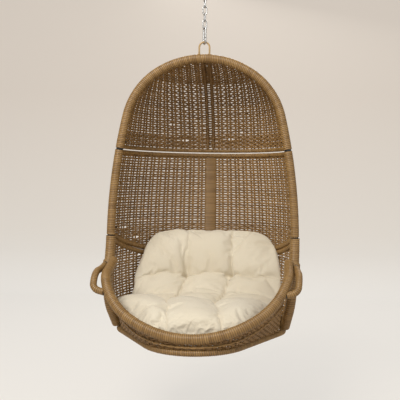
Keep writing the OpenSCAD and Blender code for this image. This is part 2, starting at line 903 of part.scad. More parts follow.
bar_y = [-230, -60, 80];
rs = u_side(ring_a, y_ring, 60);
rc = f_corner(ring_a, ring_b, ring_f, ring_g);
function ring_x(y) =
  y > 0 ? ring_a - rs + sqrt(rs * rs - y * y) :
  y > -rc * cos(ring_g) ? ring_a - rc + sqrt(rc * rc - y * y) :
  ring_f * sin(ring_g) + (y + ring_b - ring_f * (1 - cos(ring_g))) / tan(ring_g);

module seat_bars_path(r, out) {
  for (y = bar_y) {
    x = min(ring_x(y - r), ring_x(y + r)) + out;
    translate([-x, y, w_ring]) rotate([0, 90, 0]) cylinder(r = r, h = 2 * x);
  }
}

module base_ring_wrap() {
  color("peru")
    lifted()
      difference() {
        ring_path(gw, gr + fit);
        seat_bars_path(5 + fit, -1);
      }
}

module seat_bars() {
  color("dimgray")
    lifted()
      seat_bars_path(5, -gr / cos(90 - ring_g) - 0.3);
}

module seat_weave() {
  n = 12;
  k = 26;
  q0 = 4.4;
  m = [for (i = [0 : n]) [for (j = [0 : k]) let (
    q = q0 + (180 - 2 * q0) * j / k,
    w1 = w_off(q, -2 * rw - 2.8),
    w0 = w_ring + gw + 0.6,
    w = w0 + (w1 - w0) * i / n,
    slope = (post_y(w + 5) - post_y(w - 5)) / 10,
    wide = sr + 2 + 6 * exp(-pow((w - collar_mid[2]) / 40, 2)),
    qa = q_post(w, wide * sqrt(1 + slope * slope)),
    qq = max(qa, min(180 - qa, q)),
    near = pow(max(0, 1 - (min(qq, 180 - qq) - qa) / 60), 2))
    body(w, qq) + [0, post_y(w) * near, 0]]];
  color("sienna") lifted() sheet(m, weave_t);
}

// The front wall, from the underside of the rim to the ring
function apron_point(s, h) =
  let (a = rim_point(s), b = ring_point(s), d = (b - a) / norm(b - a),
    t = rim_dir(s), c = sqrt(1 - pow(d * t, 2)), p = a + d * (tr + 6.3) / c, q = b - d * (gw + 0.6))
  q + (p - q) * h;

module apron_weave() {
  n = 5;
  k = 30;
  s1 = 0.87;
  m = [for (i = [0 : n]) [for (j = [0 : k]) apron_point(s1 * (2 * j / k - 1), i / n)]];
  color("sienna") lifted() sheet(m, weave_t);
}

// A raised strand along the apron
module apron_strand() {
  n = 30;
  m = [for (i = [0, 1]) [for (j = [0 : n]) let (
    s = 0.84 * (2 * j / n - 1), p = apron_point(s, 0.5), e = 1 + (weave_t / 2 + 4.4) / norm([p[0], p[1]]))
    [p[0] * e, p[1] * e, p[2] + 4 * (i - 0.5)]]];
  color("peru") lifted() sheet(m, 4);
}

module seat_deck() {
  n = 24;
  front = [for (i = [-n : n]) let (p = ring_point(i / n), d = norm([p[0], p[1] + 90]))
    [p[0] * (1 - 13 / d), -90 + (p[1] + 90) * (1 - 13 / d)]];
  rear = [for (i = [1 : n - 1]) let (p = rear_point(180 * i / n), d = norm([p[0], p[1] + 90]))
    [p[0] * (1 - 13 / d), -90 + (p[1] + 90) * (1 - 13 / d)]];
  color("sienna")
    lifted()
      translate([0, 0, w_ring + 5.3])
        linear_extrude(3) polygon(concat(front, rear));
}

// ---- Cushion ----
// Middle line from the front edge to the top of the back: [share, y, w, half width, sag in y, rise, thickness]
cush = [
  [0.00, -352, -556, 150, 62, 14, 12],
  [0.04, -336, -548, 176, 62, 16, 58],
  [0.12, -296, -542, 206, 50, 16, 92],
  [0.22, -235, -540, 236, 34, 14, 100],
  [0.34, -150, -540, 268, 16, 6, 92],
  [0.46, -65, -541, 284, 0, 0, 92],
  [0.58, 30, -541, 288, -20, 6, 94],
  [0.68, 106, -528, 282, -46, 12, 88],
  [0.75, 162, -486, 278, -66, 0, 82],
  [0.83, 216, -428, 282, -78, 0, 84],
  [0.90, 250, -360, 281, -84, 0, 84],
  [0.96, 277, -292, 250, -76, 0, 64],
  [1.00, 292, -250, 208, -58, 0, 14]
];
function col(c) = [for (p = cush) [p[0], p[c]]];
cy_ = col(1);
cw_ = col(2);
ch_ = col(3);
cs_ = col(4);
cr_ = col(5);
ct_ = col(6);
// The table is drawn for a half width of 288; the cushion keeps its room to the line of the posts
cushion_room = 83;
cushion_k = (post_half - cushion_room) / 288;
function cmid(u, v) = [u * cushion_k * lookup(v, ch_), lookup(v, cy_) + lookup(v, cs_) * u * u, lookup(v, cw_) + lookup(v, cr_) * u * u];
// Channels and tufts draw the top in; the rows of tufts lie a little askew
function askew(v) = lookup(v, [[0, 8], [0.25, -20], [0.5, -40], [0.82, 10], [1, 12]]);
function dip(x, v) =
  let (dx = min(abs(x - askew(v) - cell / 2), abs(x - askew(v) + cell / 2)),
    dv = min(abs(v - 0.5), abs(v - 0.82)) * 840)
  14 * exp(-dx * dx / 500) + 16 * exp(-dv * dv / 500) + 12 * exp(-(dx * dx + dv * dv) / 900);

module cushion() {
  n = 30;
  k = 18;
  vs = [for (i = [0 : n]) let (t = i / n) t - 0.03 * sin(360 * t) / 2];
  us = [for (j = [0 : k]) let (t = 2 * j / k - 1) 0.75 * t + 0.25 * sin(90 * t)];
  m = [for (v = vs) [for (u = us) cmid(u, v)]];
  nn = [for (i = [0 : n]) [for (j = [0 : k])
    let (du = m[min(i + 1, n)][j] - m[max(i - 1, 0)][j], dv = m[i][min(j + 1, k)] - m[i][max(j - 1, 0)],
      c = cross(dv, du)) c / norm(c)]];
  e = [for (u = us) max(0.1, pow(1 - pow(abs(u), 3.2), 0.45))];
  up = [for (i = [0 : n]) for (j = [0 : k])
    m[i][j] + nn[i][j] * max(3, (lookup(vs[i], ct_) / 2 * e[j] - 0.5 * dip(m[i][j][0], vs[i])))];
  dn = [for (i = [0 : n]) for (j = [0 : k]) let (p = m[i][j] - nn[i][j] * max(3, lookup(vs[i], ct_) / 2 * e[j] + 10))
    [p[0], p[1], max(p[2], w_ring + 8.6)]];
  color("linen") lifted() solid_grid(up, dn, n + 1, k + 1, -1);
}

ceiling_plate();
ceiling_eye();
chain_link_1();
chain_link_2();
chain_link_3();
chain_link_4();
chain_link_5();
snap_hook();
hook_gate();
gate_pin();
gate_spring();
hanging_loop();
canopy_arch();
canopy_arch_wrap();
canopy_rail();
canopy_rail_wrap();
canopy_spine();
canopy_spine_wrap();
canopy_weave();
canopy_spigots();
seat_spigots();
joint_bolts();
joint_nuts();
back_posts();
back_post_wraps();
back_top_rail();
back_top_rail_wrap();
back_bottom_rail();
back_bottom_rail_wrap();
back_spine();
back_spine_wrap();
back_weave();
seat_posts();
seat_post_wraps();
collar_wraps();
seat_top_rail();
seat_top_rail_wrap();
front_rim();
front_rim_wrap();
handle_loops();
handle_wraps();
base_ring();
base_ring_wrap();
seat_bars();
seat_weave();
apron_weave();
apron_strand();
seat_deck();
cushion();
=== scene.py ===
"""Looks of the hanging egg chair: wound and woven strands, tufted cushion, metal parts, plain studio."""
import bpy
import json
from math import acos, asin, cos, pi, radians, sin, sqrt, tan
import numpy as np
from mathutils import Matrix, Vector


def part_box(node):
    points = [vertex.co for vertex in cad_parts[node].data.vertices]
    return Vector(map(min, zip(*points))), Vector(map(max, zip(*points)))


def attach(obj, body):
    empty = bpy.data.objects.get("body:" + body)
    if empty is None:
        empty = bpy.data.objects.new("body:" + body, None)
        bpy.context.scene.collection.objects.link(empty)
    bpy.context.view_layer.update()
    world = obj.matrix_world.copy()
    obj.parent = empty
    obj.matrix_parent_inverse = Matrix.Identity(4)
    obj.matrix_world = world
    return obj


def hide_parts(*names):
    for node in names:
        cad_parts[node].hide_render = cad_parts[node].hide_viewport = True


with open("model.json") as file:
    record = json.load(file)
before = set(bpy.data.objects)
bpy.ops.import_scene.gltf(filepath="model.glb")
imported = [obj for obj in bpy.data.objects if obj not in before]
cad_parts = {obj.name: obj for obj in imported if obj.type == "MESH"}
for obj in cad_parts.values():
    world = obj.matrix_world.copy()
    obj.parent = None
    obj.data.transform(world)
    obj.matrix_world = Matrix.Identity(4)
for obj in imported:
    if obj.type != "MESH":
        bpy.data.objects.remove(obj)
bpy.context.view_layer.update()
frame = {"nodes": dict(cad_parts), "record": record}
rng = np.random.default_rng(11)

# ---- Shape of the chair, in mm; levels w are counted from the middle of the back ----
# Half width at the posts, then the radii of the side, the shoulder and the low part
POST, SIDE_R, SH_R, LOW_R = 371.0, 2300.0, 285.0, 1320.0
# Levels of the canopy joint, the seat joint and the base ring
W_CAN, W_SEAT, W_RING = 113.0, -234.0, -607.0
# Radii of the bare tube, the wound arch, seat post, rail, base ring, and of the bare spine rod
TR, WR, SR, RW, GW, PR = 14.0, 17.0, 19.0, 8.5, 11.0, 4.0
CD = (POST - SIDE_R, -280.0)
A_SEAT = asin((W_SEAT - CD[1]) / SIDE_R)
A_CAN = asin((W_CAN - CD[1]) / SIDE_R)
A_SIDE = A_CAN + radians(3.4)
CB = (CD[0] + (SIDE_R - SH_R) * cos(A_SIDE), CD[1] + (SIDE_R - SH_R) * sin(A_SIDE))
A_TOP = A_SIDE + radians(45.5)
TOP_R = SH_R + CB[0] / cos(A_TOP)
CA = CB[1] + (SH_R - TOP_R) * sin(A_TOP)
APEX = CA + TOP_R
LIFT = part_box("canopy_arch")[1][2] * 1000 - APEX - TR
BACK_R, WB, DEPTH = 1270.0, -100.0, 362.0
CBK = DEPTH - BACK_R
Y_CAN = CBK + BACK_R * cos(asin((W_CAN - WB) / BACK_R))
H = sqrt(0.5)
KS = sin(asin((W_CAN - WB) / BACK_R))
KC = cos(asin((W_CAN - WB) / BACK_R))
K1 = (APEX - W_CAN - Y_CAN * (1 - H) / H) / ((H - KS) - (KC - H) * (1 - H) / H)
K2 = (Y_CAN - K1 * (KC - H)) / H
CK1 = (Y_CAN - K1 * KC, W_CAN - K1 * KS)
CK2 = CK1[1] + (K1 - K2) * H
TILT = radians(20.8)
M_SPLIT = tan(TILT)
W_BACK = W_SEAT - M_SPLIT * (DEPTH - 27)
B_LOW = asin((W_BACK - WB) / BACK_R)
Y_BACK = CBK + BACK_R * cos(B_LOW)
BOWL = 450.0
CBO = (Y_BACK - BOWL * cos(B_LOW), W_BACK - BOWL * sin(B_LOW))
Y_RING = CBO[0] + sqrt(BOWL ** 2 - (W_RING - CBO[1]) ** 2)
W_CRAIL, W_TRAIL = W_CAN + 2 + RW, W_CAN - 2 - RW
W_BRAIL = W_SEAT + (2 + RW) / cos(TILT)
W_SRAIL = W_SEAT - (2 + RW) / cos(TILT)


def side_x(w):
    if w > CB[1] + SH_R * sin(A_TOP):
        return sqrt(max(0.0, TOP_R ** 2 - (w - CA) ** 2))
    if w > CD[1] + SIDE_R * sin(A_SIDE):
        return CB[0] + sqrt(SH_R ** 2 - (w - CB[1]) ** 2)
    if w > CD[1]:
        return CD[0] + sqrt(SIDE_R ** 2 - (w - CD[1]) ** 2)
    return POST - LOW_R + sqrt(LOW_R ** 2 - (w - CD[1]) ** 2)


def back_y(w):
    if w > CK1[1] + K1 * H:
        return sqrt(max(0.0, K2 ** 2 - (w - CK2) ** 2))
    if w > W_CAN:
        return CK1[0] + sqrt(K1 ** 2 - (w - CK1[1]) ** 2)
    if w > W_BACK:
        return CBK + sqrt(BACK_R ** 2 - (w - WB) ** 2)
    return CBO[0] + sqrt(BOWL ** 2 - (w - CBO[1]) ** 2)


WS = np.linspace(-625, APEX, 5000)
XS = np.array([side_x(w) for w in WS])
YS = np.array([back_y(w) for w in WS])
DXS, DYS = np.gradient(XS, WS), np.gradient(YS, WS)


def out_x(w):
    return np.interp(w, WS, XS)


def out_y(w):
    return np.interp(w, WS, YS)


def unit(v):
    v = np.asarray(v, float)
    return v / np.linalg.norm(v)


# ---- Curves: tangent arcs through [point, direction] keys ----
def arc_pts(p, t, q, step=2.0):
    """Points of the arc that leaves p along t and ends at q."""
    e = q - p
    n = unit(e - (e @ t) * t)
    half = acos(min(1.0, unit(e) @ t))
    r = np.linalg.norm(e) / 2 / sin(half)
    a = np.linspace(0, 2 * half, max(4, int(r * 2 * half / step)))[:, None]
    return p + r * n + r * (np.sin(a) * t - np.cos(a) * n)


def span(key, key2):
    """Ends and directions of two keys, and the point where their tangent arcs meet."""
    p, q, t, u = np.array(key[0], float), np.array(key2[0], float), unit(key[1]), unit(key2[1])
    v, s, k = q - p, t + u, 1 - t @ u
    d = (sqrt((v @ s) ** 2 + 2 * k * (v @ v)) - v @ s) / (2 * k)
    return p, t, q, u, (p + q + d * (t - u)) / 2


def curve(keys):
    out = []
    for key, key2 in zip(keys, keys[1:]):
        p, t, q, u, m = span(key, key2)
        out += [arc_pts(p, t, m)[:-1], arc_pts(q, -u, m)[::-1][:-1]]
    return np.vstack(out + [q[None]])


def mirror(path):
    return path * [-1, 1, 1]


def both(path):
    """A right half that starts in the middle, as one path from left to right."""
    return np.vstack([mirror(path)[::-1][:-1], path])


def arc(c, r, a0, a1, step=2.0):
    a = np.linspace(a0, a1, max(4, int(abs(r * (a1 - a0)) / step)))
    return np.stack([c[0] + r * np.cos(a), c[1] + r * np.sin(a)], 1)


def lay(p2, w=0.0, tilt=0.0):
    """A flat path laid at the level w, falling to the back by tilt."""
    return np.stack([p2[:, 0], p2[:, 1] * cos(tilt), w - p2[:, 1] * sin(tilt)], 1)


def u_half(a, b, t, y0=0.0):
    """Right half of a U, half width a and depth b, from its middle to y0; its arcs meet at the angle t."""
    r1 = (b - a * (1 - sin(t)) / cos(t)) / (sin(t) - (1 - cos(t)) * (1 - sin(t)) / cos(t))
    r2 = (a - (1 - cos(t)) * r1) / cos(t)
    side = arc((a - r1, 0), r1, asin(y0 / r1), t)
    end = arc((0, (r1 - r2) * sin(t)), r2, t, pi / 2)
    return np.vstack([side[:-1], end])[::-1]


W_COLLAR, W_FRONT, RIM_Y, KNEE = -338.0, -557.0, 380.0, 90.0
RIM = curve([
    [(0, -RIM_Y, W_FRONT), (1, 0, 0)],
    [(0.604 * POST, -0.889 * RIM_Y, W_COLLAR + 0.73 * (W_FRONT - W_COLLAR)), (0.81, 0.38, 0.45)],
    [(0.876 * POST, -0.639 * RIM_Y, W_COLLAR + 0.292 * (W_FRONT - W_COLLAR)), (0.36, 0.66, 0.66)],
    [(POST - 25, -60, W_COLLAR + 8), (0.06, 0.93, 0.36)]])
W_KNEE, W_END = W_SEAT + 0.6 * (W_RING - W_SEAT), W_RING + GW + 12
PK = [
    [(side_x(W_SEAT), 0, W_SEAT), (sin(A_SEAT), 0, -cos(A_SEAT))],
    [(side_x(W_KNEE) - 2, -KNEE, W_KNEE), (-0.1, -0.06, -1)],
    [(side_x(W_END), -0.39 * KNEE, W_END), (-0.16, 0.56, -0.82)]]
SEAT_POST = curve(PK)


def length(path):
    return np.concatenate([[0], np.cumsum(np.linalg.norm(np.diff(path, axis=0), axis=1))])


def at(path, s):
    l = length(path)
    return np.stack([np.interp(s, l, path[:, i]) for i in range(3)], -1)


def part(path, s0, s1):
    """The stretch of a path from the length s0 to s1."""
    l = length(path)[-1]
    n = max(4, int((s1 - s0) / 2))
    return at(path, np.linspace(s0, min(l, s1), n))


def post_y(w):
    return np.interp(w, SEAT_POST[::-1, 2], SEAT_POST[::-1, 1])


RIM_L = length(RIM)[-1]


def on_half(path, s):
    """Points at the shares s, from -1 left to 1 right, of a path known by its right half."""
    s = np.atleast_1d(s)
    side = np.stack([np.where(s < 0, -1, 1), s * 0 + 1, s * 0 + 1], -1)
    return at(path, np.abs(s) * length(path)[-1]) * side


def rim_point(s):
    return on_half(RIM, s)


# Base ring, in two bent halves: half width, reach in front, front radius, its half angle, corner radius
RA, RB, RF, RG = side_x(W_RING), RIM_Y - 5, 205.0, radians(58)
RC = (((RB - RF * (1 - cos(RG))) * cos(RG) - (RA - RF * sin(RG)) * sin(RG))
      / (cos(RG) ** 2 - (1 - sin(RG)) * sin(RG)))
front = np.vstack([arc((0, -RB + RF), RF, -pi / 2, -pi / 2 + RG)[:-1],
                   arc((RA - RC, 0), RC, RG - pi / 2, 0)])
FRONT_RING = lay(front, W_RING)
REAR_RING = lay(u_half(RA, Y_RING, radians(60)), W_RING)
RING = np.vstack([both(FRONT_RING), both(REAR_RING)[::-1][1:]])


def ring_point(s):
    return on_half(FRONT_RING, s)


HANDLE = curve([
    [(POST + 2, -50, W_COLLAR - 2), (0.11, -0.93, -0.32)],
    [(POST + 6, -0.621 * RIM_Y, W_COLLAR + 0.256 * (W_FRONT - W_COLLAR)), (-0.1, -0.66, -0.75)],
    [rim_point(0.62)[0], (-0.86, -0.42, 0.05)]])


def collar():
    """Middle and direction of the wound band that holds the rim and the handle to the seat post."""
    a, t, _, _, m = span(PK[0], PK[1])
    e = unit(m - a)
    return m, 2 * (e @ t) * e - t


COL, COL_D = collar()


def outside_collar(path):
    """A path without the ends that lie inside the collar."""
    r, h = SR + 4.7, 60
    v = path - COL
    along = v @ COL_D
    far = np.linalg.norm(v - along[:, None] * COL_D, axis=1)
    keep = (far > r) | (np.abs(along) > h)
    first = np.argmax(keep) if not keep[0] else 0
    last = len(keep) - 1 - (np.argmax(keep[::-1]) if not keep[-1] else 0)
    return path[first:last + 1]


# ---- Meshes ----
def make(name, v, f, mat, body="chair", slot=None, attrs=None):
    me = bpy.data.meshes.new(name)
    v = np.asarray(v, float).copy()
    v[:, 2] += LIFT
    me.from_pydata((v / 1000).tolist(), [], [list(map(int, q)) for q in f])
    for k, a in (attrs or {}).items():
        at_ = me.attributes.new(k, "FLOAT", "POINT")
        at_.data.foreach_set("value", np.asarray(a, np.float32))
    me.validate()
    me.update()
    ob = bpy.data.objects.new(name, me)
    bpy.context.scene.collection.objects.link(ob)
    me.materials.append(mat)
    me.polygons.foreach_set("use_smooth", [True] * len(me.polygons))
    if body:
        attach(ob, body)
    return ob


def frames(path, n0=None):
    """Tangents, and two normals that turn as little as they can along the path."""
    t = np.gradient(path, axis=0)
    t /= np.linalg.norm(t, axis=1)[:, None]
    if n0 is None:
        n0 = (0, 0, 1) if abs(t[0][2]) < 0.8 else (1, 0, 0)
    n = np.zeros_like(path)
    cur = np.asarray(n0, float)
    for i in range(len(path)):
        cur = cur - (cur @ t[i]) * t[i]
        cur /= np.linalg.norm(cur)
        n[i] = cur
    return t, n, np.cross(t, n)


class Bag:
    """Gathers many swept strands into one mesh."""
    def __init__(self):
        # Per point: a random strand tone, and a painted shade value that darkens grooves.
        self.v, self.f, self.tint, self.deep, self.n = [], [], [], [], 0

    def add(self, rings, tint):
        n, k = rings.shape[:2]
        i, j = np.meshgrid(np.arange(n - 1), np.arange(k), indexing="ij")
        a = i * k + j
        b = i * k + (j + 1) % k
        f = np.stack([a, b, b + k, a + k], -1).reshape(-1, 4) + self.n
        self.v.append(rings.reshape(-1, 3))
        self.f += f.tolist()
        self.f.append([self.n + q for q in range(k)][::-1])
        self.f.append([self.n + (n - 1) * k + q for q in range(k)])
        self.tint.append(np.full(n * k, float(tint)))
        # Swept strands get no painted shade.
        self.deep.append(np.zeros(n * k))
        self.n += n * k

    def build(self, name, mat, **kw):
        attrs = {"tint": np.concatenate(self.tint), "deep": np.concatenate(self.deep)}
        return make(name, np.vstack(self.v), self.f, mat, attrs=attrs, **kw)


def circle(r):
    return lambda th: (r * np.cos(th), r * np.sin(th), np.cos(th), np.sin(th))


def stadium(h, r):
    """A band section: two half rounds of radius r, their middles h to either side."""
    def sec(th):
        c, s = np.cos(th), np.sin(th)
        return np.where(c > 0, h, -h) + r * c, r * s, c, s
    return sec


def wind(bag, path, sec, sides=16, pitch=7.0, n0=None, groove=1.0):
    """A helical winding round a path: each turn is one strand, with a groove to the next."""
    total = length(path)[-1]
    n = max(8, int(total / 2))
    path = at(path, np.linspace(0, total, n))
    s_of = np.linspace(0, total, n)
    t, nn, bb = frames(path, n0)
    turns = int(total / pitch) + 3
    ph = np.array([0, 0.14, 0.5, 0.86])
    off = np.array([-0.95, 0.0, 0.3, 0.0]) * groove
    si = ((np.arange(turns)[:, None] - 1 + ph) * pitch).ravel()
    tint = np.repeat(rng.random(turns), 4)
    lift = np.repeat(rng.normal(0, 0.12, turns), 4)
    oi = np.tile(off, turns) + lift
    th = 2 * pi * np.arange(sides) / sides
    s = np.clip(si[:, None] + pitch * th[None] / (2 * pi), 0, total)
    pos = np.stack([np.interp(s, s_of, path[:, i]) for i in range(3)], -1)
    na = np.stack([np.interp(s, s_of, nn[:, i]) for i in range(3)], -1)
    ba = np.stack([np.interp(s, s_of, bb[:, i]) for i in range(3)], -1)
    u, v, nu, nv = sec(th)
    rings = pos + na * (u + nu * oi[:, None])[..., None] + ba * (v + nv * oi[:, None])[..., None]
    m, k = rings.shape[:2]
    i, j = np.meshgrid(np.arange(m - 5), np.arange(k), indexing="ij")
    a = i * k + j
    b = np.where(j < k - 1, i * k + j + 1, (i + 4) * k)
    f = np.stack([a, b, b + k, a + k], -1).reshape(-1, 4)
    keep = (s.ravel()[f].max(1) > 1e-6) & (s.ravel()[f].min(1) < total - 1e-6)
    f = f[keep] + bag.n
    bag.v.append(rings.reshape(-1, 3))
    bag.f += f.tolist()
    bag.f.append([bag.n + q for q in range(k)][::-1])
    bag.f.append([bag.n + (m - 1) * k + q for q in range(k)])
    bag.tint.append(np.repeat(tint, k))
    # Painted shade for each turn: 1 in the groove before it, 0.25 on its flanks, 0 on its crest.
    bag.deep.append(np.repeat(np.tile([1.0, 0.25, 0.0, 0.25], turns), k))
    bag.n += m * k


# ---- Materials ----
def principled(name, color, rough, metal=0.0):
    mat = bpy.data.materials.new(name)
    mat.use_nodes = True
    nt = mat.node_tree
    bsdf = nt.nodes["Principled BSDF"]
    bsdf.inputs["Base Color"].default_value = (*color, 1)
    bsdf.inputs["Roughness"].default_value = rough
    bsdf.inputs["Metallic"].default_value = metal
    return mat, nt, bsdf


def node(nt, kind, **inputs):
    n = nt.nodes.new(kind)
    for k, v in inputs.items():
        n.inputs[k].default_value = v
    return n


def noise(nt, scale, detail):
    n = node(nt, "ShaderNodeTexNoise", Scale=scale, Detail=detail)
    tc = nt.nodes.new("ShaderNodeTexCoord")
    nt.links.new(tc.outputs["Object"], n.inputs["Vector"])
    return n.outputs["Fac"]


def attribute(nt, name):
    a = nt.nodes.new("ShaderNodeAttribute")
    a.attribute_name = name
    return a.outputs["Fac"]


def ramp(nt, fac, stops):
    r = nt.nodes.new("ShaderNodeValToRGB")
    while len(r.color_ramp.elements) < len(stops):
        r.color_ramp.elements.new(0.5)
    for e, (p, c) in zip(r.color_ramp.elements, stops):
        e.position = p
        e.color = (*c, 1)
    nt.links.new(fac, r.inputs["Fac"])
    return r.outputs["Color"]


def mix(nt, fac, a, b, kind="MIX"):
    m = nt.nodes.new("ShaderNodeMix")
    m.data_type = "RGBA"
    m.blend_type = kind
    for sock, val in ((m.inputs["Factor"], fac), (m.inputs[6], a), (m.inputs[7], b)):
        if isinstance(val, (float, int)):
            sock.default_value = val
        elif isinstance(val, tuple):
            sock.default_value = (*val, 1)
        else:
            nt.links.new(val, sock)
    return m.outputs[2]


def bump(nt, bsdf, height, strength, dist):
    b = node(nt, "ShaderNodeBump", Strength=strength, Distance=dist)
    nt.links.new(height, b.inputs["Height"])
    nt.links.new(b.outputs["Normal"], bsdf.inputs["Normal"])


def wicker(name, light, mid, dark, rough):
    """Wicker whose strands differ in tone (tint), with painted shade that darkens the grooves between the
    strands.
    """
    mat, nt, bsdf = principled(name, mid, rough)
    base = ramp(nt, attribute(nt, "tint"), [(0.0, dark), (0.35, mid), (1.0, light)])
    blot = noise(nt, 26.0, 4.0)
    base = mix(nt, 0.35, base, ramp(nt, blot, [(0.3, dark), (0.7, light)]))
    fine = noise(nt, 420.0, 2.0)
    base = mix(nt, 0.22, base, ramp(nt, fine, [(0.35, dark), (0.65, light)]))
    # Painted shade: where the per-point shade value is 1, in the grooves, the colour goes to a near black
    # brown.
    base = mix(nt, attribute(nt, "deep"), base, tuple(c * 0.28 for c in dark))
    nt.links.new(base, bsdf.inputs["Base Color"])
    shine = ramp(nt, blot, [(0.2, (rough - 0.1,) * 3), (0.8, (rough + 0.14,) * 3)])
    nt.links.new(shine, bsdf.inputs["Roughness"])
    bump(nt, bsdf, noise(nt, 900.0, 2.0), 0.25, 0.0004)
    return mat


WRAP = wicker("wicker_wrap_mat", (0.41, 0.245, 0.088), (0.315, 0.18, 0.060), (0.205, 0.110, 0.034), 0.42)
PANEL = wicker("wicker_weave_mat", (0.33, 0.190, 0.068), (0.25, 0.139, 0.047), (0.15, 0.078, 0.025), 0.45)


def metal_mat(name, color, rough, metal=1.0, speck=0.1):
    mat, nt, bsdf = principled(name, color, rough, metal)
    spots = noise(nt, 160.0, 4.0)
    lo, hi = tuple(c * (1 - speck) for c in color), tuple(min(1, c * (1 + speck)) for c in color)
    nt.links.new(ramp(nt, spots, [(0.3, lo), (0.7, hi)]), bsdf.inputs["Base Color"])
    shine = ramp(nt, spots, [(0.3, (rough * 0.8,) * 3), (0.7, (min(1, rough * 1.25),) * 3)])
    nt.links.new(shine, bsdf.inputs["Roughness"])
    bump(nt, bsdf, noise(nt, 700.0, 2.0), 0.12, 0.0003)
    return mat


ZINC = metal_mat("zinc_mat", (0.60, 0.60, 0.60), 0.32)
STEEL = metal_mat("spring_steel_mat", (0.5, 0.5, 0.5), 0.28)
LOOP = metal_mat("loop_paint_mat", (0.44, 0.29, 0.13), 0.38, 0.0, 0.2)
BLACK = metal_mat("black_frame_mat", (0.018, 0.018, 0.019), 0.4, 0.0, 0.4)
BOLT = metal_mat("black_bolt_mat", (0.03, 0.03, 0.032), 0.35, 0.6, 0.3)
SLOT_MAT = {"zinc": ZINC, "spring_steel": STEEL, "loop_paint": LOOP, "black_frame": BLACK, "black_bolt": BOLT,
            "wicker_wrap": WRAP, "wicker_panel": PANEL}
for sub in frame["record"]["subparts"]:
    ob = frame["nodes"].get(sub["node"])
    mat = SLOT_MAT.get(sub["material_slot"])
    if ob is not None and mat is not None:
        ob.data.materials.clear()
        ob.data.materials.append(mat)


# ---- Windings ----
def dress(name, node_name, paths, sec, mat=WRAP, **kw):
    """One winding per path, as the look of a node."""
    bag = Bag()
    for p in paths:
        wind(bag, p, sec, **kw)
    ob = bag.build(name, mat, slot="wicker_wrap")
    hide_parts(node_name)


def in_xz(p2):
    return np.stack([p2[:, 0], p2[:, 0] * 0, p2[:, 1]], 1)


def in_yz(p2, x=0):
    return np.stack([p2[:, 0] * 0 + x, p2[:, 0], p2[:, 1]], 1)


def trimmed(path, d0, d1):
    return part(path, d0, length(path)[-1] - d1)


arch = in_xz(np.vstack([arc((0, CA), TOP_R, pi / 2, A_TOP)[:-1], arc(CB, SH_R, A_TOP, A_SIDE)[:-1],
                        arc(CD, SIDE_R, A_SIDE, A_CAN)]))
dress("canopy_arch_winding", "canopy_arch_wrap", [trimmed(both(arch), 4, 4)], circle(WR), sides=22)
tie = part(arch, 14.5, 26.5)
dress("canopy_arch_ties", "canopy_arch_wrap", [tie, mirror(tie)], circle(WR + 1.7), sides=22, pitch=3.6)
posts = in_xz(arc(CD, SIDE_R, A_CAN, A_SEAT))
dress("back_post_windings", "back_post_wraps", [trimmed(p, 4, 2.5) for p in (posts, mirror(posts))],
      circle(WR), sides=22)
dress("seat_post_windings", "seat_post_wraps",
      [trimmed(p, 2.5, 0.6) for p in (SEAT_POST, mirror(SEAT_POST))], circle(SR), sides=22, pitch=8.0)
col = np.array([COL - 11 * COL_D, COL - 4 * COL_D, COL + 4 * COL_D, COL + 11 * COL_D])
dress("collar_windings", "collar_wraps", [col, mirror(col)], circle(SR + 4.3),
      sides=22, pitch=6.5, groove=1.3)
rim = outside_collar(RIM)
dress("front_rim_winding", "front_rim_wrap", [both(rim)], circle(TR + 4), sides=22, pitch=7.5)
han = outside_collar(HANDLE)
near = np.array([np.min(np.linalg.norm(RIM - p, axis=1)) for p in han])
han = han[near > 16.5]
dress("handle_windings", "handle_wraps", [han, mirror(han)], circle(12.5), sides=18, pitch=7.0)
dress("base_ring_winding", "base_ring_wrap", [np.roll(RING[:-1], len(REAR_RING), axis=0)], circle(GW),
      sides=16, pitch=7.5)
for nm, w, tilt, r_post in (("canopy_rail", W_CRAIL, 0, WR), ("back_top_rail", W_TRAIL, 0, WR),
                            ("back_bottom_rail", W_BRAIL, TILT, SR), ("seat_top_rail", W_SRAIL, TILT, SR)):
    b = Y_BACK / cos(TILT) if tilt else float(out_y(w))
    y0 = (r_post + 0.2) / cos(tilt) + RW * tan(tilt)
    half = lay(u_half(side_x(w), b, radians(45), y0), w, tilt)
    dress(nm + "_winding", nm + "_wrap", [both(half)], circle(RW + (2.0 if tilt else 0)),
          sides=14, pitch=6.0)

a0, a1 = asin((W_CRAIL + RW + 1.6 - CK1[1]) / K1), acos((WR + 0.5) / K2)
sp = np.vstack([arc(CK1, K1, a0, radians(45))[:-1], arc((0, CK2), K2, radians(45), a1)])
spine = in_yz(sp, 13)
dress("canopy_spine_windings", "canopy_spine_wrap", [spine, mirror(spine)], circle(PR + 3.4),
      sides=14, pitch=6.0, mat=PANEL)
w_lo = W_BRAIL - M_SPLIT * Y_BACK
a0, a1 = asin((w_lo + RW / cos(TILT) + 2.4 - WB) / BACK_R), asin((W_TRAIL - RW - 0.4 - WB) / BACK_R)
sp = arc((CBK, WB), BACK_R, a0, a1)
dress("back_spine_winding", "back_spine_wrap", [in_yz(sp)], stadium(20, 6.5),
      sides=20, pitch=5.6, n0=(1, 0, 0))

# ---- Weaving ----
# How far a row passes in front of and behind the stakes
AMP = 2.8
# Loose spots of the panel in work: column, level, half width in columns, and mm by which the rows part
HOLES = []


def body_pos(q, w):
    """Points of the shell at the angles q, from 0 right to pi left, and the levels w."""
    x, y = out_x(w), out_y(w)
    return np.stack([x * np.cos(q), y * np.sin(q), w + 0 * q], -1)


def body_nor(q, w):
    x, y, dx, dy = out_x(w), out_y(w), np.interp(w, WS, DXS), np.interp(w, WS, DYS)
    n = np.stack([y * np.cos(q), x * np.sin(q), -(x * dy * np.sin(q) ** 2 + y * dx * np.cos(q) ** 2)], -1)
    return n / np.linalg.norm(n, axis=-1)[..., None]


def q_post(w, y):
    """Angle at which the shell stands y behind the posts."""
    return float(np.arcsin(min(1.0, y / float(out_y(w)))))


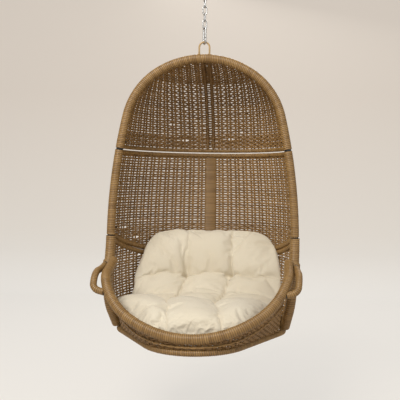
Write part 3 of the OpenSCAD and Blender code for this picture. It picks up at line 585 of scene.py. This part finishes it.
HEX = [(cos(a), sin(a)) for a in np.arange(6) * pi / 3]
TWIN = [(4.8, 0), (3.6, 1.35), (1.9, 1.35), (0, 0.55), (-1.9, 1.35), (-3.6, 1.35),
        (-4.8, 0), (-3.6, -1.35), (-1.9, -1.35), (0, -0.55), (1.9, -1.35), (3.6, -1.35)]


def sweep(bag, p, n, off, section, tint):
    """A strand of the given section along the points p, held off the surface with normals n by off."""
    t = np.gradient(p, axis=0)
    t /= np.maximum(1e-9, np.linalg.norm(t, axis=1))[:, None]
    b = np.cross(n, t)
    b /= np.maximum(1e-9, np.linalg.norm(b, axis=1))[:, None]
    n2 = np.cross(t, b)
    c = p + n * off[:, None]
    rings = c[:, None] + b[:, None] * section[None, :, 0, None] + n2[:, None] * section[None, :, 1, None]
    bag.add(rings, tint)


def flat_strand(half_w, half_t):
    return np.array([(half_w * a, half_t * b) for a, b in HEX])


WEAVER = flat_strand(4.1, 1.3)
STAKE = np.array(TWIN)
# Spacing in mm of the woven rows (canopy: foot, middle, crown; back: upper, lower) and of the stakes
CANOPY_ROWS, BACK_ROWS, SEAT_ROWS, APRON_ROWS, DECK_ROWS = (8.6, 11.0, 6.8), (11.0, 9.6), 10.4, 8.6, 9.5
CANOPY_STAKES, BACK_STAKES, SEAT_STAKES, APRON_STAKES, DECK_STAKES = 19.6, 19.8, 21.0, 20.5, 21.0
WOBBLE_STEP = 12


def paired(n):
    """Stake places along 0..1, drawn together two by two."""
    return (np.arange(n) + 0.5 + np.where(np.arange(n) % 2, -0.1, 0.1)) / n


def weaver(bag, pos, nor, c0, c1, stakes, parity, w, wob=0.5, tail=()):
    """One strand from c0 to c1 that passes the stakes (index, column) in front and behind in turn."""
    inner = [(j, c) for j, c in stakes if min(c0, c1) < c < max(c0, c1)]
    if not inner:
        return
    if c0 > c1:
        inner = inner[::-1]
    cs = [c0] + [c for _, c in inner] + [c1]
    os_ = [0.0] + [AMP * (1 if (j + parity) % 2 else -1) for j, _ in inner] + [0.0]
    cs += [c for c, _ in tail]
    os_ += [o for _, o in tail]
    col, off = [], []
    for a, b, oa, ob in zip(cs, cs[1:], os_, os_[1:]):
        for u in (0, 0.25, 0.5, 0.75):
            col.append(a + (b - a) * u)
            off.append(oa * (1 + cos(pi * u)) / 2 + ob * (1 - cos(pi * u)) / 2)
    col.append(cs[-1])
    off.append(os_[-1])
    col, off = np.array(col), np.array(off)
    knots = np.arange(0, len(col) + WOBBLE_STEP, WOBBLE_STEP)
    lvl = w + wob * np.interp(np.arange(len(col)), knots, rng.normal(0, 1, len(knots)))
    for hc, hw, hr_, hd in HOLES:
        g = np.exp(-((col - hc) / hr_) ** 2)
        lvl = lvl + np.sign(w - hw + 0.01) * hd * g * np.exp(-((w - hw) / 16) ** 2)
    lvl = lvl + 0.2 * off
    sweep(bag, pos(col, lvl), nor(col, lvl), off, WEAVER, rng.random())


def stake(bag, pos, nor, cols, ws):
    sweep(bag, pos(cols, ws), nor(cols, ws), np.zeros(len(ws)), STAKE, rng.random())


def finish_weave(name, node_name, rows, posts_):
    a = rows.build(name + "_weavers", PANEL, slot="wicker_panel")
    b = posts_.build(name + "_stakes", PANEL, slot="wicker_panel")
    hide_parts(node_name)
    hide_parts(node_name)


def mirrored(s):
    """body_pos and body_nor on the right (s = 1), or flipped to the left (s = -1)."""
    def pos(q, w):
        return body_pos(q, w) * [s, 1, 1]

    def nor(q, w):
        return body_nor(q, w) * [s, 1, 1]
    return pos, nor


def share_length(x, y):
    """Running length of a level curve."""
    return np.concatenate([[0], np.cumsum(np.hypot(np.diff(x), np.diff(y)))])


# Canopy: rows at equal steps of the middle profile, stakes gathered towards the crown
w_lo = W_CRAIL + RW + 4.5
prof = np.linspace(w_lo, APEX - 3, 3000)
plen = share_length(prof, out_y(prof))
FOOT, CROWN = 45.0, 300.0
steps, d = [], 1.5
while d < plen[-1] - 20:
    steps.append(d)
    d += CANOPY_ROWS[0 if d < FOOT else 1 if d < CROWN else 2]
levels = np.interp(steps, plen, prof)
xb = out_x(w_lo)
# stake columns at the rail, at equal steps along it
qq = np.linspace(q_post(w_lo, WR + 4), acos(25.0 / xb), 4000)
ql = share_length(out_x(w_lo) * np.cos(qq), out_y(w_lo) * np.sin(qq))
n_st = int(ql[-1] / CANOPY_STAKES)
q_st = np.interp(paired(n_st) * ql[-1], ql, qq)
ratio = np.cos(q_st)


def can_q(j, w):
    r = ratio[j]
    al = 0.1 + 0.9 * r ** 3
    c = r * (out_x(w) / xb) ** (al - 1)
    return np.arccos(np.clip(c, -1, 1))


for sgn in (1, -1):
    rows, sts = Bag(), Bag()
    HOLES[:] = ([(1.30, 172.0, 0.05, 3.6), (1.12, 208.0, 0.05, 2.6)] if sgn > 0 else
                [(1.22, 168.0, 0.07, 3.8), (1.02, 232.0, 0.05, 3.2), (1.20, 300.0, 0.04, 2.6)])
    mir_pos, mir_nor = mirrored(sgn)
    for i, w in enumerate(levels):
        c0 = q_post(w, WR + 2)
        c1 = acos(min(1, 21.5 / float(out_x(w))))
        if c1 - c0 < 0.02:
            break
        cols = [(j, float(can_q(j, w))) for j in range(n_st)]
        cols = [(j, c) for j, c in cols if c0 + 0.006 < c < c1]
        ox = float(out_x(w))
        tail = [(acos(min(1, 13.0 / ox)), 8.8), (acos(min(1, 5.0 / ox)), 7.0), (pi / 2, 6.4)]
        weaver(rows, mir_pos, mir_nor, c0, c1, cols, i, w, tail=tail)
    for j in range(n_st):
        w = np.interp(np.arange(0, plen[-1] - 6, 5.0), plen, prof)
        w = np.concatenate([[w_lo - 4.5], w])
        q = can_q(j, w)
        ok = out_y(w) * np.sin(q) > WR - 2
        ok[:2] = True
        w, q = w[ok], q[ok]
        if len(w) > 4:
            stake(sts, mir_pos, mir_nor, q, w)
    side = "right" if sgn > 0 else "left"
    finish_weave("canopy_" + side, "canopy_weave", rows, sts)
HOLES[:] = []


def w_off(q, d):
    e = d / cos(TILT)
    w = W_SEAT - M_SPLIT * Y_BACK * np.sin(q) + e
    return W_SEAT - M_SPLIT * out_y(w) * np.sin(q) + e


# Back: level rows down to the falling rail
w_hi = W_TRAIL - RW - 1.0
q0, q1 = q_post(0, WR + 2), radians(85.4)
qg = np.linspace(q0, pi / 2, 400)
wg = w_off(qg, 2 * RW + 3.0)
qs = np.linspace(q0, q1, 2000)
ql = share_length(365 * np.cos(qs), 355 * np.sin(qs))
n_st = int(ql[-1] / BACK_STAKES)
q_st = np.interp(paired(n_st) * ql[-1], ql, qs)
for sgn in (1, -1):
    rows, sts = Bag(), Bag()
    HOLES[:] = ([(0.30, -214.0, 0.05, 5.0)] if sgn > 0 else
                [(0.36, -216.0, 0.06, 5.0), (0.58, -262.0, 0.05, 5.0)])
    mir_pos, mir_nor = mirrored(sgn)
    w, i = w_hi - 2.5, 0
    while w > wg.min() + 3:
        c0 = max(q0, float(np.interp(w, wg[::-1], qg[::-1])))
        if w > wg[0]:
            c0 = q0
        tail = [(radians(87.4), 8.6), (radians(88.8), 8.2), (pi / 2, 8.2)]
        weaver(rows, mir_pos, mir_nor, c0, radians(85.7), list(enumerate(q_st)), i, w, tail=tail)
        w -= BACK_ROWS[0 if w > -200 else 1]
        i += 1
    for j in range(n_st):
        lo = float(w_off(q_st[j], 2 * RW - 2.0))
        ws = np.linspace(w_hi + 3, lo, max(6, int((w_hi - lo) / 8)))
        stake(sts, mir_pos, mir_nor, q_st[j] + 0 * ws, ws)
    finish_weave("back_" + ("right" if sgn > 0 else "left"), "back_weave", rows, sts)
HOLES[:] = []


# Seat: level rows up to the falling rail; its side edges follow the posts forward
def seat_edge(w):
    """Angle at which the weave meets the post, wider at the collar."""
    slope = (post_y(w + 5) - post_y(w - 5)) / 10
    wide = (SR + 2) * np.sqrt(1 + slope ** 2) + 6 * np.exp(-((w - COL[2]) / 40) ** 2)
    return np.arcsin(wide / out_y(w))


def seat_pos(q, w):
    near_ = np.maximum(0, 1 - (np.minimum(q, pi - q) - seat_edge(w)) / radians(60)) ** 2
    return body_pos(q, w) + np.stack([0 * q, post_y(w) * near_, 0 * q], -1)


rows, sts = Bag(), Bag()
w_bot = W_RING + GW + 1.0
qs = np.linspace(radians(5), radians(175), 3000)
ql = share_length(360 * np.cos(qs), 340 * np.sin(qs))
n_st = int(ql[-1] / SEAT_STAKES)
q_st = np.interp(paired(n_st) * ql[-1], ql, qs)
qg = np.linspace(radians(3), pi / 2, 400)
wg = w_off(qg, -2 * RW - 3.2)
w, i = w_bot + 3.0, 0
while w < wg.max() - 2:
    c0 = float(seat_edge(w))
    if w < wg.min():
        weaver(rows, seat_pos, body_nor, c0, pi - c0, list(enumerate(q_st)), i, w)
    else:
        c1 = float(np.interp(-w, -wg, qg))
        if c1 > c0 + 0.03:
            weaver(rows, seat_pos, body_nor, c0, c1, list(enumerate(q_st)), i, w)
            weaver(rows, seat_pos, body_nor, pi - c0, pi - c1, list(enumerate(q_st)), i, w)
    w += SEAT_ROWS
    i += 1
for j in range(n_st):
    hi = float(w_off(q_st[j], -2 * RW + 2.0))
    ws = np.linspace(w_bot - 2, hi, max(8, int((hi - w_bot) / 8)))
    stake(sts, seat_pos, body_nor, np.full(len(ws), q_st[j]), ws)
finish_weave("seat", "seat_weave", rows, sts)


# Apron: level rows between the ring and the underside of the rim
def apron_ends(s):
    a, b = rim_point(s), ring_point(s)
    d = (b - a) / np.linalg.norm(b - a, axis=1)[:, None]
    t = rim_point(np.minimum(1, s + 0.01)) - rim_point(np.maximum(-1, s - 0.01))
    t /= np.linalg.norm(t, axis=1)[:, None]
    c = np.sqrt(1 - np.sum(d * t, axis=1) ** 2)
    return a + d * ((TR + 5.0) / c)[:, None], b - d * (GW + 0.8)


def apron_pos(s, w):
    s = np.atleast_1d(np.asarray(s, float))
    p, q = apron_ends(s)
    h = (w - q[:, 2]) / (p[:, 2] - q[:, 2])
    return q + (p - q) * h[:, None]


def apron_nor(s, w):
    s = np.atleast_1d(np.asarray(s, float))
    du = apron_pos(np.minimum(0.99, s + 0.01), w) - apron_pos(np.maximum(-0.99, s - 0.01), w)
    p, q = apron_ends(s)
    n = np.cross(du, p - q)
    return n / np.linalg.norm(n, axis=1)[:, None]


rows, sts = Bag(), Bag()
S1 = 0.872
sg = np.linspace(0, S1, 300)
top = apron_ends(sg)[0][:, 2]
n_st = int(2 * S1 * RIM_L / APRON_STAKES)
s_st = (np.arange(n_st) + 0.5) / n_st * 2 * S1 - S1
w, i = W_RING + GW + 3.5, 0
while w < top.max() - 2:
    if w < top.min():
        weaver(rows, apron_pos, apron_nor, -S1, S1, list(enumerate(s_st)), i, w, 0.3)
    else:
        c1 = float(np.interp(w, top, sg))
        if c1 < S1 - 0.03:
            weaver(rows, apron_pos, apron_nor, S1, c1, list(enumerate(s_st)), i, w, 0.3)
            weaver(rows, apron_pos, apron_nor, -S1, -c1, list(enumerate(s_st)), i, w, 0.3)
    w += APRON_ROWS
    i += 1
for j in range(n_st):
    p, q = apron_ends(np.array([s_st[j]]))
    ws = np.linspace(q[0, 2] - 1, p[0, 2] + 1.5, max(4, int((p[0, 2] - q[0, 2]) / 8)))
    stake(sts, apron_pos, apron_nor, np.full(len(ws), s_st[j]), ws)
finish_weave("apron", "apron_weave", rows, sts)

# Raised strand along the apron, two twisted rods
ROPE_N, ROPE_TURN, ROPE_R = 260, 0.42, 1.6
ss = np.linspace(-0.84, 0.84, ROPE_N)
p, q = apron_ends(ss)
mid = (p + q) / 2
nn_ = apron_nor(ss, mid[:, 2])
rope = mid + nn_ * 5.6
bag = Bag()
for ph in (0, pi):
    tw = np.linspace(0, ROPE_N * ROPE_TURN, ROPE_N) + ph
    t = np.gradient(rope, axis=0)
    t /= np.linalg.norm(t, axis=1)[:, None]
    b = np.cross(nn_, t)
    c = rope + ROPE_R * (np.cos(tw)[:, None] * b + np.sin(tw)[:, None] * nn_)
    sweep(bag, c, nn_, 0 * tw, flat_strand(1.9, 1.9), 0.6)
ob = bag.build("apron_rope", WRAP, slot="wicker_wrap")
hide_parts("apron_strand")

# Seat deck: flat strands laid across the ring
def ring_x(y):
    """Half width of the base ring at the depth y."""
    if y < 0:
        return float(np.interp(y, FRONT_RING[:, 1], FRONT_RING[:, 0]))
    return float(np.interp(-y, -REAR_RING[:, 1], REAR_RING[:, 0]))


rows = Bag()
W_DECK, DECK_WAVE = W_RING + 6.8, 1.4
for i, y in enumerate(np.arange(-RB + 24, Y_RING - 20, DECK_ROWS)):
    x = ring_x(y) - 8
    n = max(6, int(x / 8))
    xs = np.linspace(-x, x, 2 * n)
    z = W_DECK + DECK_WAVE * np.cos(pi * xs / DECK_STAKES + pi * i)
    p = np.stack([xs, y + 0 * xs, z], 1)
    sweep(rows, p, np.tile([0, 0, 1.0], (len(xs), 1)), 0 * xs, flat_strand(3.6, 1.2), rng.random())
for k in range(-14, 15):
    x = k * DECK_STAKES
    lo_y = -float(np.interp(abs(x), FRONT_RING[:, 0], -FRONT_RING[:, 1])) + 10
    hi_y = float(np.interp(-abs(x), -REAR_RING[::-1, 0], REAR_RING[::-1, 1])) - 10
    yy = np.linspace(lo_y, hi_y, 40)
    p = np.stack([x + 0 * yy, yy, W_DECK + 0 * yy], 1)
    sweep(rows, p, np.tile([0, 0, 1.0], (len(yy), 1)), 0 * yy, STAKE, rng.random())
ob = rows.build("seat_deck_strands", PANEL, slot="wicker_panel")
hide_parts("seat_deck")

# ---- Cushion ----
CELL, HALF = 195.0, 306
# Along the cloth: share, y, w, half width, then what u squared adds to y and to w, thickness
CUSH = np.array([
    [0.00, -350, -552, 150, 62, 14, 12], [0.04, -336, -544, 180, 62, 16, 62],
    [0.12, -296, -540, 214, 50, 16, 98], [0.22, -235, -538, 248, 34, 14, 108],
    [0.34, -150, -536, 278, 16, 8, 104], [0.42, -96, -534, 290, 6, 6, 100],
    [0.50, -38, -541, 296, -8, 2, 92], [0.58, 30, -541, 302, -24, 6, 96],
    [0.68, 106, -526, 304, -52, 12, 94], [0.75, 162, -482, 304, -78, 2, 90],
    [0.83, 214, -420, 306, -94, 0, 90], [0.90, 246, -344, 306, -100, 0, 90],
    [0.96, 268, -266, 306, -92, 0, 84], [1.00, 282, -218, 306, -80, 0, 60]])


def cloth_mat():
    mat, nt, bsdf = principled("cushion_cloth_mat", (0.77, 0.695, 0.55), 0.9)
    bsdf.inputs["Sheen Weight"].default_value = 0.25
    patches = ramp(nt, noise(nt, 7.0, 3.0), [(0.3, (0.73, 0.65, 0.50)), (0.7, (0.80, 0.735, 0.60))])
    base = mix(nt, 0.5, (0.77, 0.695, 0.55), patches)
    tc = nt.nodes.new("ShaderNodeTexCoord")
    waves = []
    for axis in ("X", "Z"):
        wv = node(nt, "ShaderNodeTexWave", Scale=320.0, Distortion=0.6)
        wv.bands_direction = axis
        nt.links.new(tc.outputs["Object"], wv.inputs["Vector"])
        waves.append(wv)
    weave_ = mix(nt, 0.5, waves[0].outputs["Color"], waves[1].outputs["Color"], "MULTIPLY")
    base = mix(nt, 0.12, base, mix(nt, 1.0, base, weave_, "MULTIPLY"))
    # Painted shade: seams and tufts darkened towards a dull brown.
    base = mix(nt, attribute(nt, "deep"), base, (0.40, 0.32, 0.20))
    nt.links.new(base, bsdf.inputs["Base Color"])
    bump(nt, bsdf, weave_, 0.3, 0.0005)
    return mat


CLOTH = cloth_mat()
# Shares of the two tuft rows, and the cloth's length
ROWS, LONG = (0.5, 0.82), 880.0
TUFTS = [(r, s) for r in ROWS for s in (-1, 1)]


def askew(v):
    """How far the middle seam stands to the side."""
    return np.interp(v, [0, 0.25, 0.5, 0.82, 1], [8, -20, -40, 10, 12])


def look(v, c):
    """The table, read through a short running mean so that its corners are rounded."""
    return sum(np.interp(v + d, CUSH[:, 0], CUSH[:, c]) for d in (-0.03, -0.015, 0, 0.015, 0.03)) / 5


def from_seams(x, v):
    """Distances along the cloth to the long seams, to the cross seams and to the nearest tuft."""
    c = askew(v) + 3 * np.sin(31 * v) + 4 * np.sin(9 * v)
    dx = np.minimum(np.abs(x - c - CELL / 2), np.abs(x - c + CELL / 2))
    bow = 0.006 * np.sin(x / 40)
    dv = np.minimum(np.abs(v + bow - ROWS[0]), np.abs(v - bow - ROWS[1])) * LONG
    tuft = np.min([np.hypot(x - askew(r) - s * CELL / 2, (v - r) * LONG) for r, s in TUFTS], axis=0)
    return dx, dv, tuft


def creases(x, v):
    """Folds that run out from each tuft and die away."""
    out = 0 * x
    draw = np.random.default_rng(11)
    for r, s in TUFTS:
        ax, ay = x - askew(r) - s * CELL / 2, (v - r) * LONG
        rad, ang = np.hypot(ax, ay), np.arctan2(ay, ax)
        for _ in range(9):
            a, wid = draw.uniform(-pi, pi), draw.uniform(7, 15)
            reach, amp = draw.uniform(60, 140), draw.uniform(3, 8)
            d = np.angle(np.exp(1j * (ang - a - 0.15 * np.sin(rad / 30))))
            side_ = rad * np.sin(np.clip(d, -pi / 2, pi / 2))
            ahead = np.clip(np.cos(d), 0, 1)
            fade = np.exp(-(rad / reach) ** 2)
            out -= amp * np.exp(-(side_ / wid) ** 2) * ahead * np.clip(rad / 18, 0, 1) * fade
    return out


def cushion():
    """The padded shell, and for each of its vertices how firmly the seams hold it."""
    n, k = 136, 90
    t = np.linspace(0, 1, n + 1)
    vs = t - 0.55 * np.sin(2 * pi * t) / (2 * pi)
    t = np.linspace(-1, 1, k + 1)
    us = 0.75 * t + 0.25 * np.sin(pi / 2 * t)
    v, u = np.meshgrid(vs, us, indexing="ij")
    knee_ = np.where(u < 0, 0.77, 0.83)
    cap_ = np.clip((v - knee_) / (1 - knee_), 0, 1)
    half = look(v, 3) * (0.5 + 0.5 * np.maximum(0, 1 - cap_ ** 2.2) ** (1 / 2.2))
    depth = look(v, 1) + look(v, 4) * u * u * (half / HALF) ** 2
    m = np.stack([u * half, depth, look(v, 2) + look(v, 5) * u * u], -1)
    lobe = np.exp(-((v - 0.36) / 0.12) ** 2) * np.clip(-u, 0, 1) ** 2
    m[..., 0] += 5 - 48 * lobe
    m[..., 2] += 44 * lobe
    m[..., 0] += 8 * np.clip(u, 0, 1) ** 2 * np.clip((v - 0.5) / 0.2, 0, 1)
    for _ in range(6):
        m[1:-1] = (m[:-2] + 2 * m[1:-1] + m[2:]) / 4
    du, dv = np.gradient(m, axis=1), np.gradient(m, axis=0)
    nn = np.cross(dv, du)
    nn /= np.linalg.norm(nn, axis=-1)[..., None]
    nn = -nn if nn[n // 2, k // 2, 2] < 0 else nn
    x = m[..., 0]
    e = np.maximum(0.0, 1 - np.abs(u) ** 3.2) ** 0.5
    ev = np.maximum(0.0, 1 - np.abs(2 * v - 1) ** 10) ** 0.5
    thick = look(v, 6) * 0.5 * ev
    thick += ev * (9 * np.exp(-((v - 0.415) / 0.06) ** 2) + 6 * np.exp(-((v - 0.66) / 0.09) ** 2))
    dx, dr, tf = from_seams(x, v)
    near_edge = np.clip(1.3 * e * ev, 0, 1)
    hold = 1 - 0.85 * np.clip((v - 0.84) / 0.05, 0, 1) * np.clip((40 - x) / 40, 0, 1)
    hold *= 1 - 0.5 * np.clip((0.44 - v) / 0.08, 0, 1)
    dip = (19 * np.exp(-dx / 15) * hold + 17 * np.exp(-dr / 17) + 16 * np.exp(-tf / 30)) * near_edge
    dip -= 5 * near_edge * (1 - np.exp(-dx / 60)) * (1 - np.exp(-dr / 60))
    up = m + nn * (thick * e - dip + creases(x, v) * near_edge + 2)[..., None]
    dn = m - nn * (thick * e)[..., None]
    dn[..., 2] = np.maximum(dn[..., 2], W_RING + 9.5)
    for g in (0, -1):
        up[g] = dn[g] = m[g]
        up[:, g] = dn[:, g] = m[:, g]
    cells_n, cells_k = n + 1, k + 1
    idx = np.arange(cells_n * cells_k).reshape(cells_n, cells_k)
    low = idx + cells_n * cells_k
    low[0], low[-1], low[:, 0], low[:, -1] = idx[0], idx[-1], idx[:, 0], idx[:, -1]
    f1 = np.stack([idx[:-1, :-1], idx[:-1, 1:], idx[1:, 1:], idx[1:, :-1]], -1).reshape(-1, 4)
    f2 = np.stack([low[:-1, :-1], low[1:, :-1], low[1:, 1:], low[:-1, 1:]], -1).reshape(-1, 4)
    vv = np.vstack([up.reshape(-1, 3), dn.reshape(-1, 3)])
    # Painted shade along the long seams, the cross seams and round the tufts, stored per vertex for the cloth
    # material.
    deep = 0.6 * np.exp(-(dx / 2.6) ** 2) * hold + 0.35 * np.exp(-(dr / 3.5) ** 2)
    deep = np.clip(deep + 0.7 * np.exp(-(tf / 7) ** 2), 0, 0.85)
    sewn = np.maximum.reduce([np.exp(-(dx / 3.2) ** 2) * hold, 0.8 * np.exp(-(dr / 3.2) ** 2),
                              np.exp(-(tf / 9) ** 2)])
    dd = np.concatenate([deep.ravel(), np.zeros(cells_n * cells_k)])
    pin = np.concatenate([sewn.ravel(), np.ones(cells_n * cells_k)])
    ob = make("cushion_pad", vv, np.vstack([f1, f2]), CLOTH, body=None, attrs={"deep": dd, "tint": dd * 0})
    return ob, pin


def puff(ob, pin, frames_=20, cap=0.024):
    """Cloth under pressure: seams and tufts hold, the cells between them swell and crease."""
    start = np.empty(len(ob.data.vertices) * 3, np.float32)
    ob.data.vertices.foreach_get("co", start)
    start = start.reshape(-1, 3)
    grp = ob.vertex_groups.new(name="sewn")
    for i, p in enumerate(pin):
        if p > 0.3:
            grp.add([i], float(min(1, p)), "REPLACE")
    md = ob.modifiers.new("cloth", "CLOTH")
    st = md.settings
    st.quality, st.mass = 6, 0.3
    st.tension_stiffness = st.compression_stiffness = 14
    st.shear_stiffness, st.bending_stiffness = 6, 0.08
    st.use_pressure, st.uniform_pressure_force = True, 4.0
    st.shrink_min, st.shrink_max = -0.06, -0.06
    st.vertex_group_mass = "sewn"
    st.effector_weights.gravity = 0
    md.collision_settings.use_collision = False
    sc = bpy.context.scene
    md.point_cache.frame_start, md.point_cache.frame_end = 1, frames_
    for f in range(1, frames_ + 1):
        sc.frame_set(f)
    dg = bpy.context.evaluated_depsgraph_get()
    new = np.empty(len(ob.data.vertices) * 3, np.float32)
    ob.evaluated_get(dg).data.vertices.foreach_get("co", new)
    new = new.reshape(-1, 3)
    ob.modifiers.clear()
    sc.frame_set(1)
    d = new - start
    ln = np.linalg.norm(d, axis=1)
    d *= np.minimum(1, cap / np.maximum(ln, 1e-9))[:, None]
    out = start + d
    ob.data.vertices.foreach_set("co", out.ravel())
    ob.data.update()


pad, sewn_pin = cushion()
puff(pad, sewn_pin)
sub = pad.modifiers.new("smooth", "SUBSURF")
sub.levels = sub.render_levels = 1
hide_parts("cushion")
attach(pad, "cushion")


# ---- Studio ----
# Levels of the back's middle and of the floor, in m
L = LIFT / 1000
zf = L - 0.98


def backdrop(name):
    """Pale plaster wall that runs into the floor, with a painted glow seen only by the camera that is
    brightest at the floor and fades up the wall.
    """
    mat, nt, bsdf = principled(name, (0.62, 0.57, 0.51), 0.95)
    geo = nt.nodes.new("ShaderNodeNewGeometry")
    sep = nt.nodes.new("ShaderNodeSeparateXYZ")
    nt.links.new(geo.outputs["Position"], sep.inputs[0])
    lev = node(nt, "ShaderNodeMapRange")
    lev.inputs["From Min"].default_value = zf + 0.02
    lev.inputs["From Max"].default_value = zf + 1.7
    nt.links.new(sep.outputs["Z"], lev.inputs["Value"])
    # Painted light: emission brightest at the floor, dimmer up the wall, mixed in at 0.6 for camera rays
    # only.
    painted_glow = nt.nodes.new("ShaderNodeEmission")
    nt.links.new(ramp(nt, lev.outputs["Result"], [(0.0, (0.98, 0.96, 0.92)), (0.3, (0.90, 0.85, 0.78)),
                                                (1.0, (0.79, 0.71, 0.63))]), painted_glow.inputs["Color"])
    seen = nt.nodes.new("ShaderNodeLightPath")
    part_ = nt.nodes.new("ShaderNodeMath")
    part_.operation = "MULTIPLY"
    nt.links.new(seen.outputs["Is Camera Ray"], part_.inputs[0])
    part_.inputs[1].default_value = 0.6
    both_ = nt.nodes.new("ShaderNodeMixShader")
    nt.links.new(part_.outputs[0], both_.inputs[0])
    nt.links.new(bsdf.outputs[0], both_.inputs[1])
    nt.links.new(painted_glow.outputs[0], both_.inputs[2])
    out = [x for x in nt.nodes if x.type == "OUTPUT_MATERIAL"][0]
    nt.links.new(both_.outputs[0], out.inputs["Surface"])
    return mat


def stage_mesh(name, verts, faces, mat):
    me = bpy.data.meshes.new(name)
    me.from_pydata(verts, [], faces)
    ob = bpy.data.objects.new(name, me)
    bpy.context.scene.collection.objects.link(ob)
    me.materials.append(mat)
    me.polygons.foreach_set("use_smooth", [True] * len(me.polygons))


# Profile of the floor: level, a rounded corner, then up the wall
yw, corner = 2.95, 0.35
prof2 = [(-6.0, zf), (yw - corner, zf)]
for a in np.linspace(0, pi / 2, 12)[1:]:
    prof2.append((yw - corner + corner * sin(a), zf + corner - corner * cos(a)))
prof2.append((yw, zf + 5.0))
vv, ff = [], []
for i, (y, z) in enumerate(prof2):
    vv += [(-7, y, z), (7, y, z)]
    if i:
        ff.append((2 * i - 2, 2 * i - 1, 2 * i + 1, 2 * i))
stage_mesh("studio_floor", vv, ff, backdrop("studio_floor_mat"))


def area(name, loc, target, size, power, color):
    li = bpy.data.lights.new(name, "AREA")
    li.shape, li.size, li.size_y, li.energy, li.color = "RECTANGLE", size[0], size[1], power, color
    ob = bpy.data.objects.new(name, li)
    bpy.context.scene.collection.objects.link(ob)
    ob.location = loc
    ob.rotation_euler = (Vector(target) - Vector(loc)).to_track_quat("-Z", "Y").to_euler()


mid_z = L - 0.1
area("key", (-1.0, -2.3, mid_z + 2.3), (0, 0, mid_z), (1.8, 1.4), 102, (1.0, 0.97, 0.92))
area("fill", (2.4, -2.2, mid_z + 0.9), (0, 0, mid_z - 0.1), (1.6, 1.6), 14, (1.0, 0.98, 0.95))
area("rear", (0.4, 2.4, mid_z + 2.2), (0, 0, mid_z), (2.4, 1.2), 44, (1.0, 0.98, 0.95))
world = bpy.data.worlds.new("studio_world")
bpy.context.scene.world = world
world.use_nodes = True
bg = world.node_tree.nodes["Background"]
bg.inputs["Color"].default_value = (1.0, 0.975, 0.94, 1)
bg.inputs["Strength"].default_value = 0.40

# Camera at the photograph's angle: yaw, pitch and roll, and the focal length in px of a 400 px picture
cam = bpy.data.cameras.new("camera")
cam_ob = bpy.data.objects.new("camera", cam)
bpy.context.scene.collection.objects.link(cam_ob)
yaw, pit, rol, foc, picture = 0.0410, -0.0323, 0.0131, 640.7, 400
fwd = Vector((-sin(yaw) * cos(pit), cos(yaw) * cos(pit), sin(pit)))
right = Vector((cos(yaw), sin(yaw), 0))
upv = right.cross(fwd)
r2 = right * cos(rol) + upv * sin(rol)
u2 = -right * sin(rol) + upv * cos(rol)
rot = Matrix((r2, u2, -fwd)).transposed().to_4x4()
cam_ob.matrix_world = Matrix.Translation((0.2546, -2.560, L - 0.0036)) @ rot
cam.sensor_width = 36.0
cam.lens = foc / picture * cam.sensor_width
cam.shift_x = -0.10
cam.clip_end = 60
bpy.context.scene.camera = cam_ob
bpy.context.scene.view_settings.view_transform = "Standard"
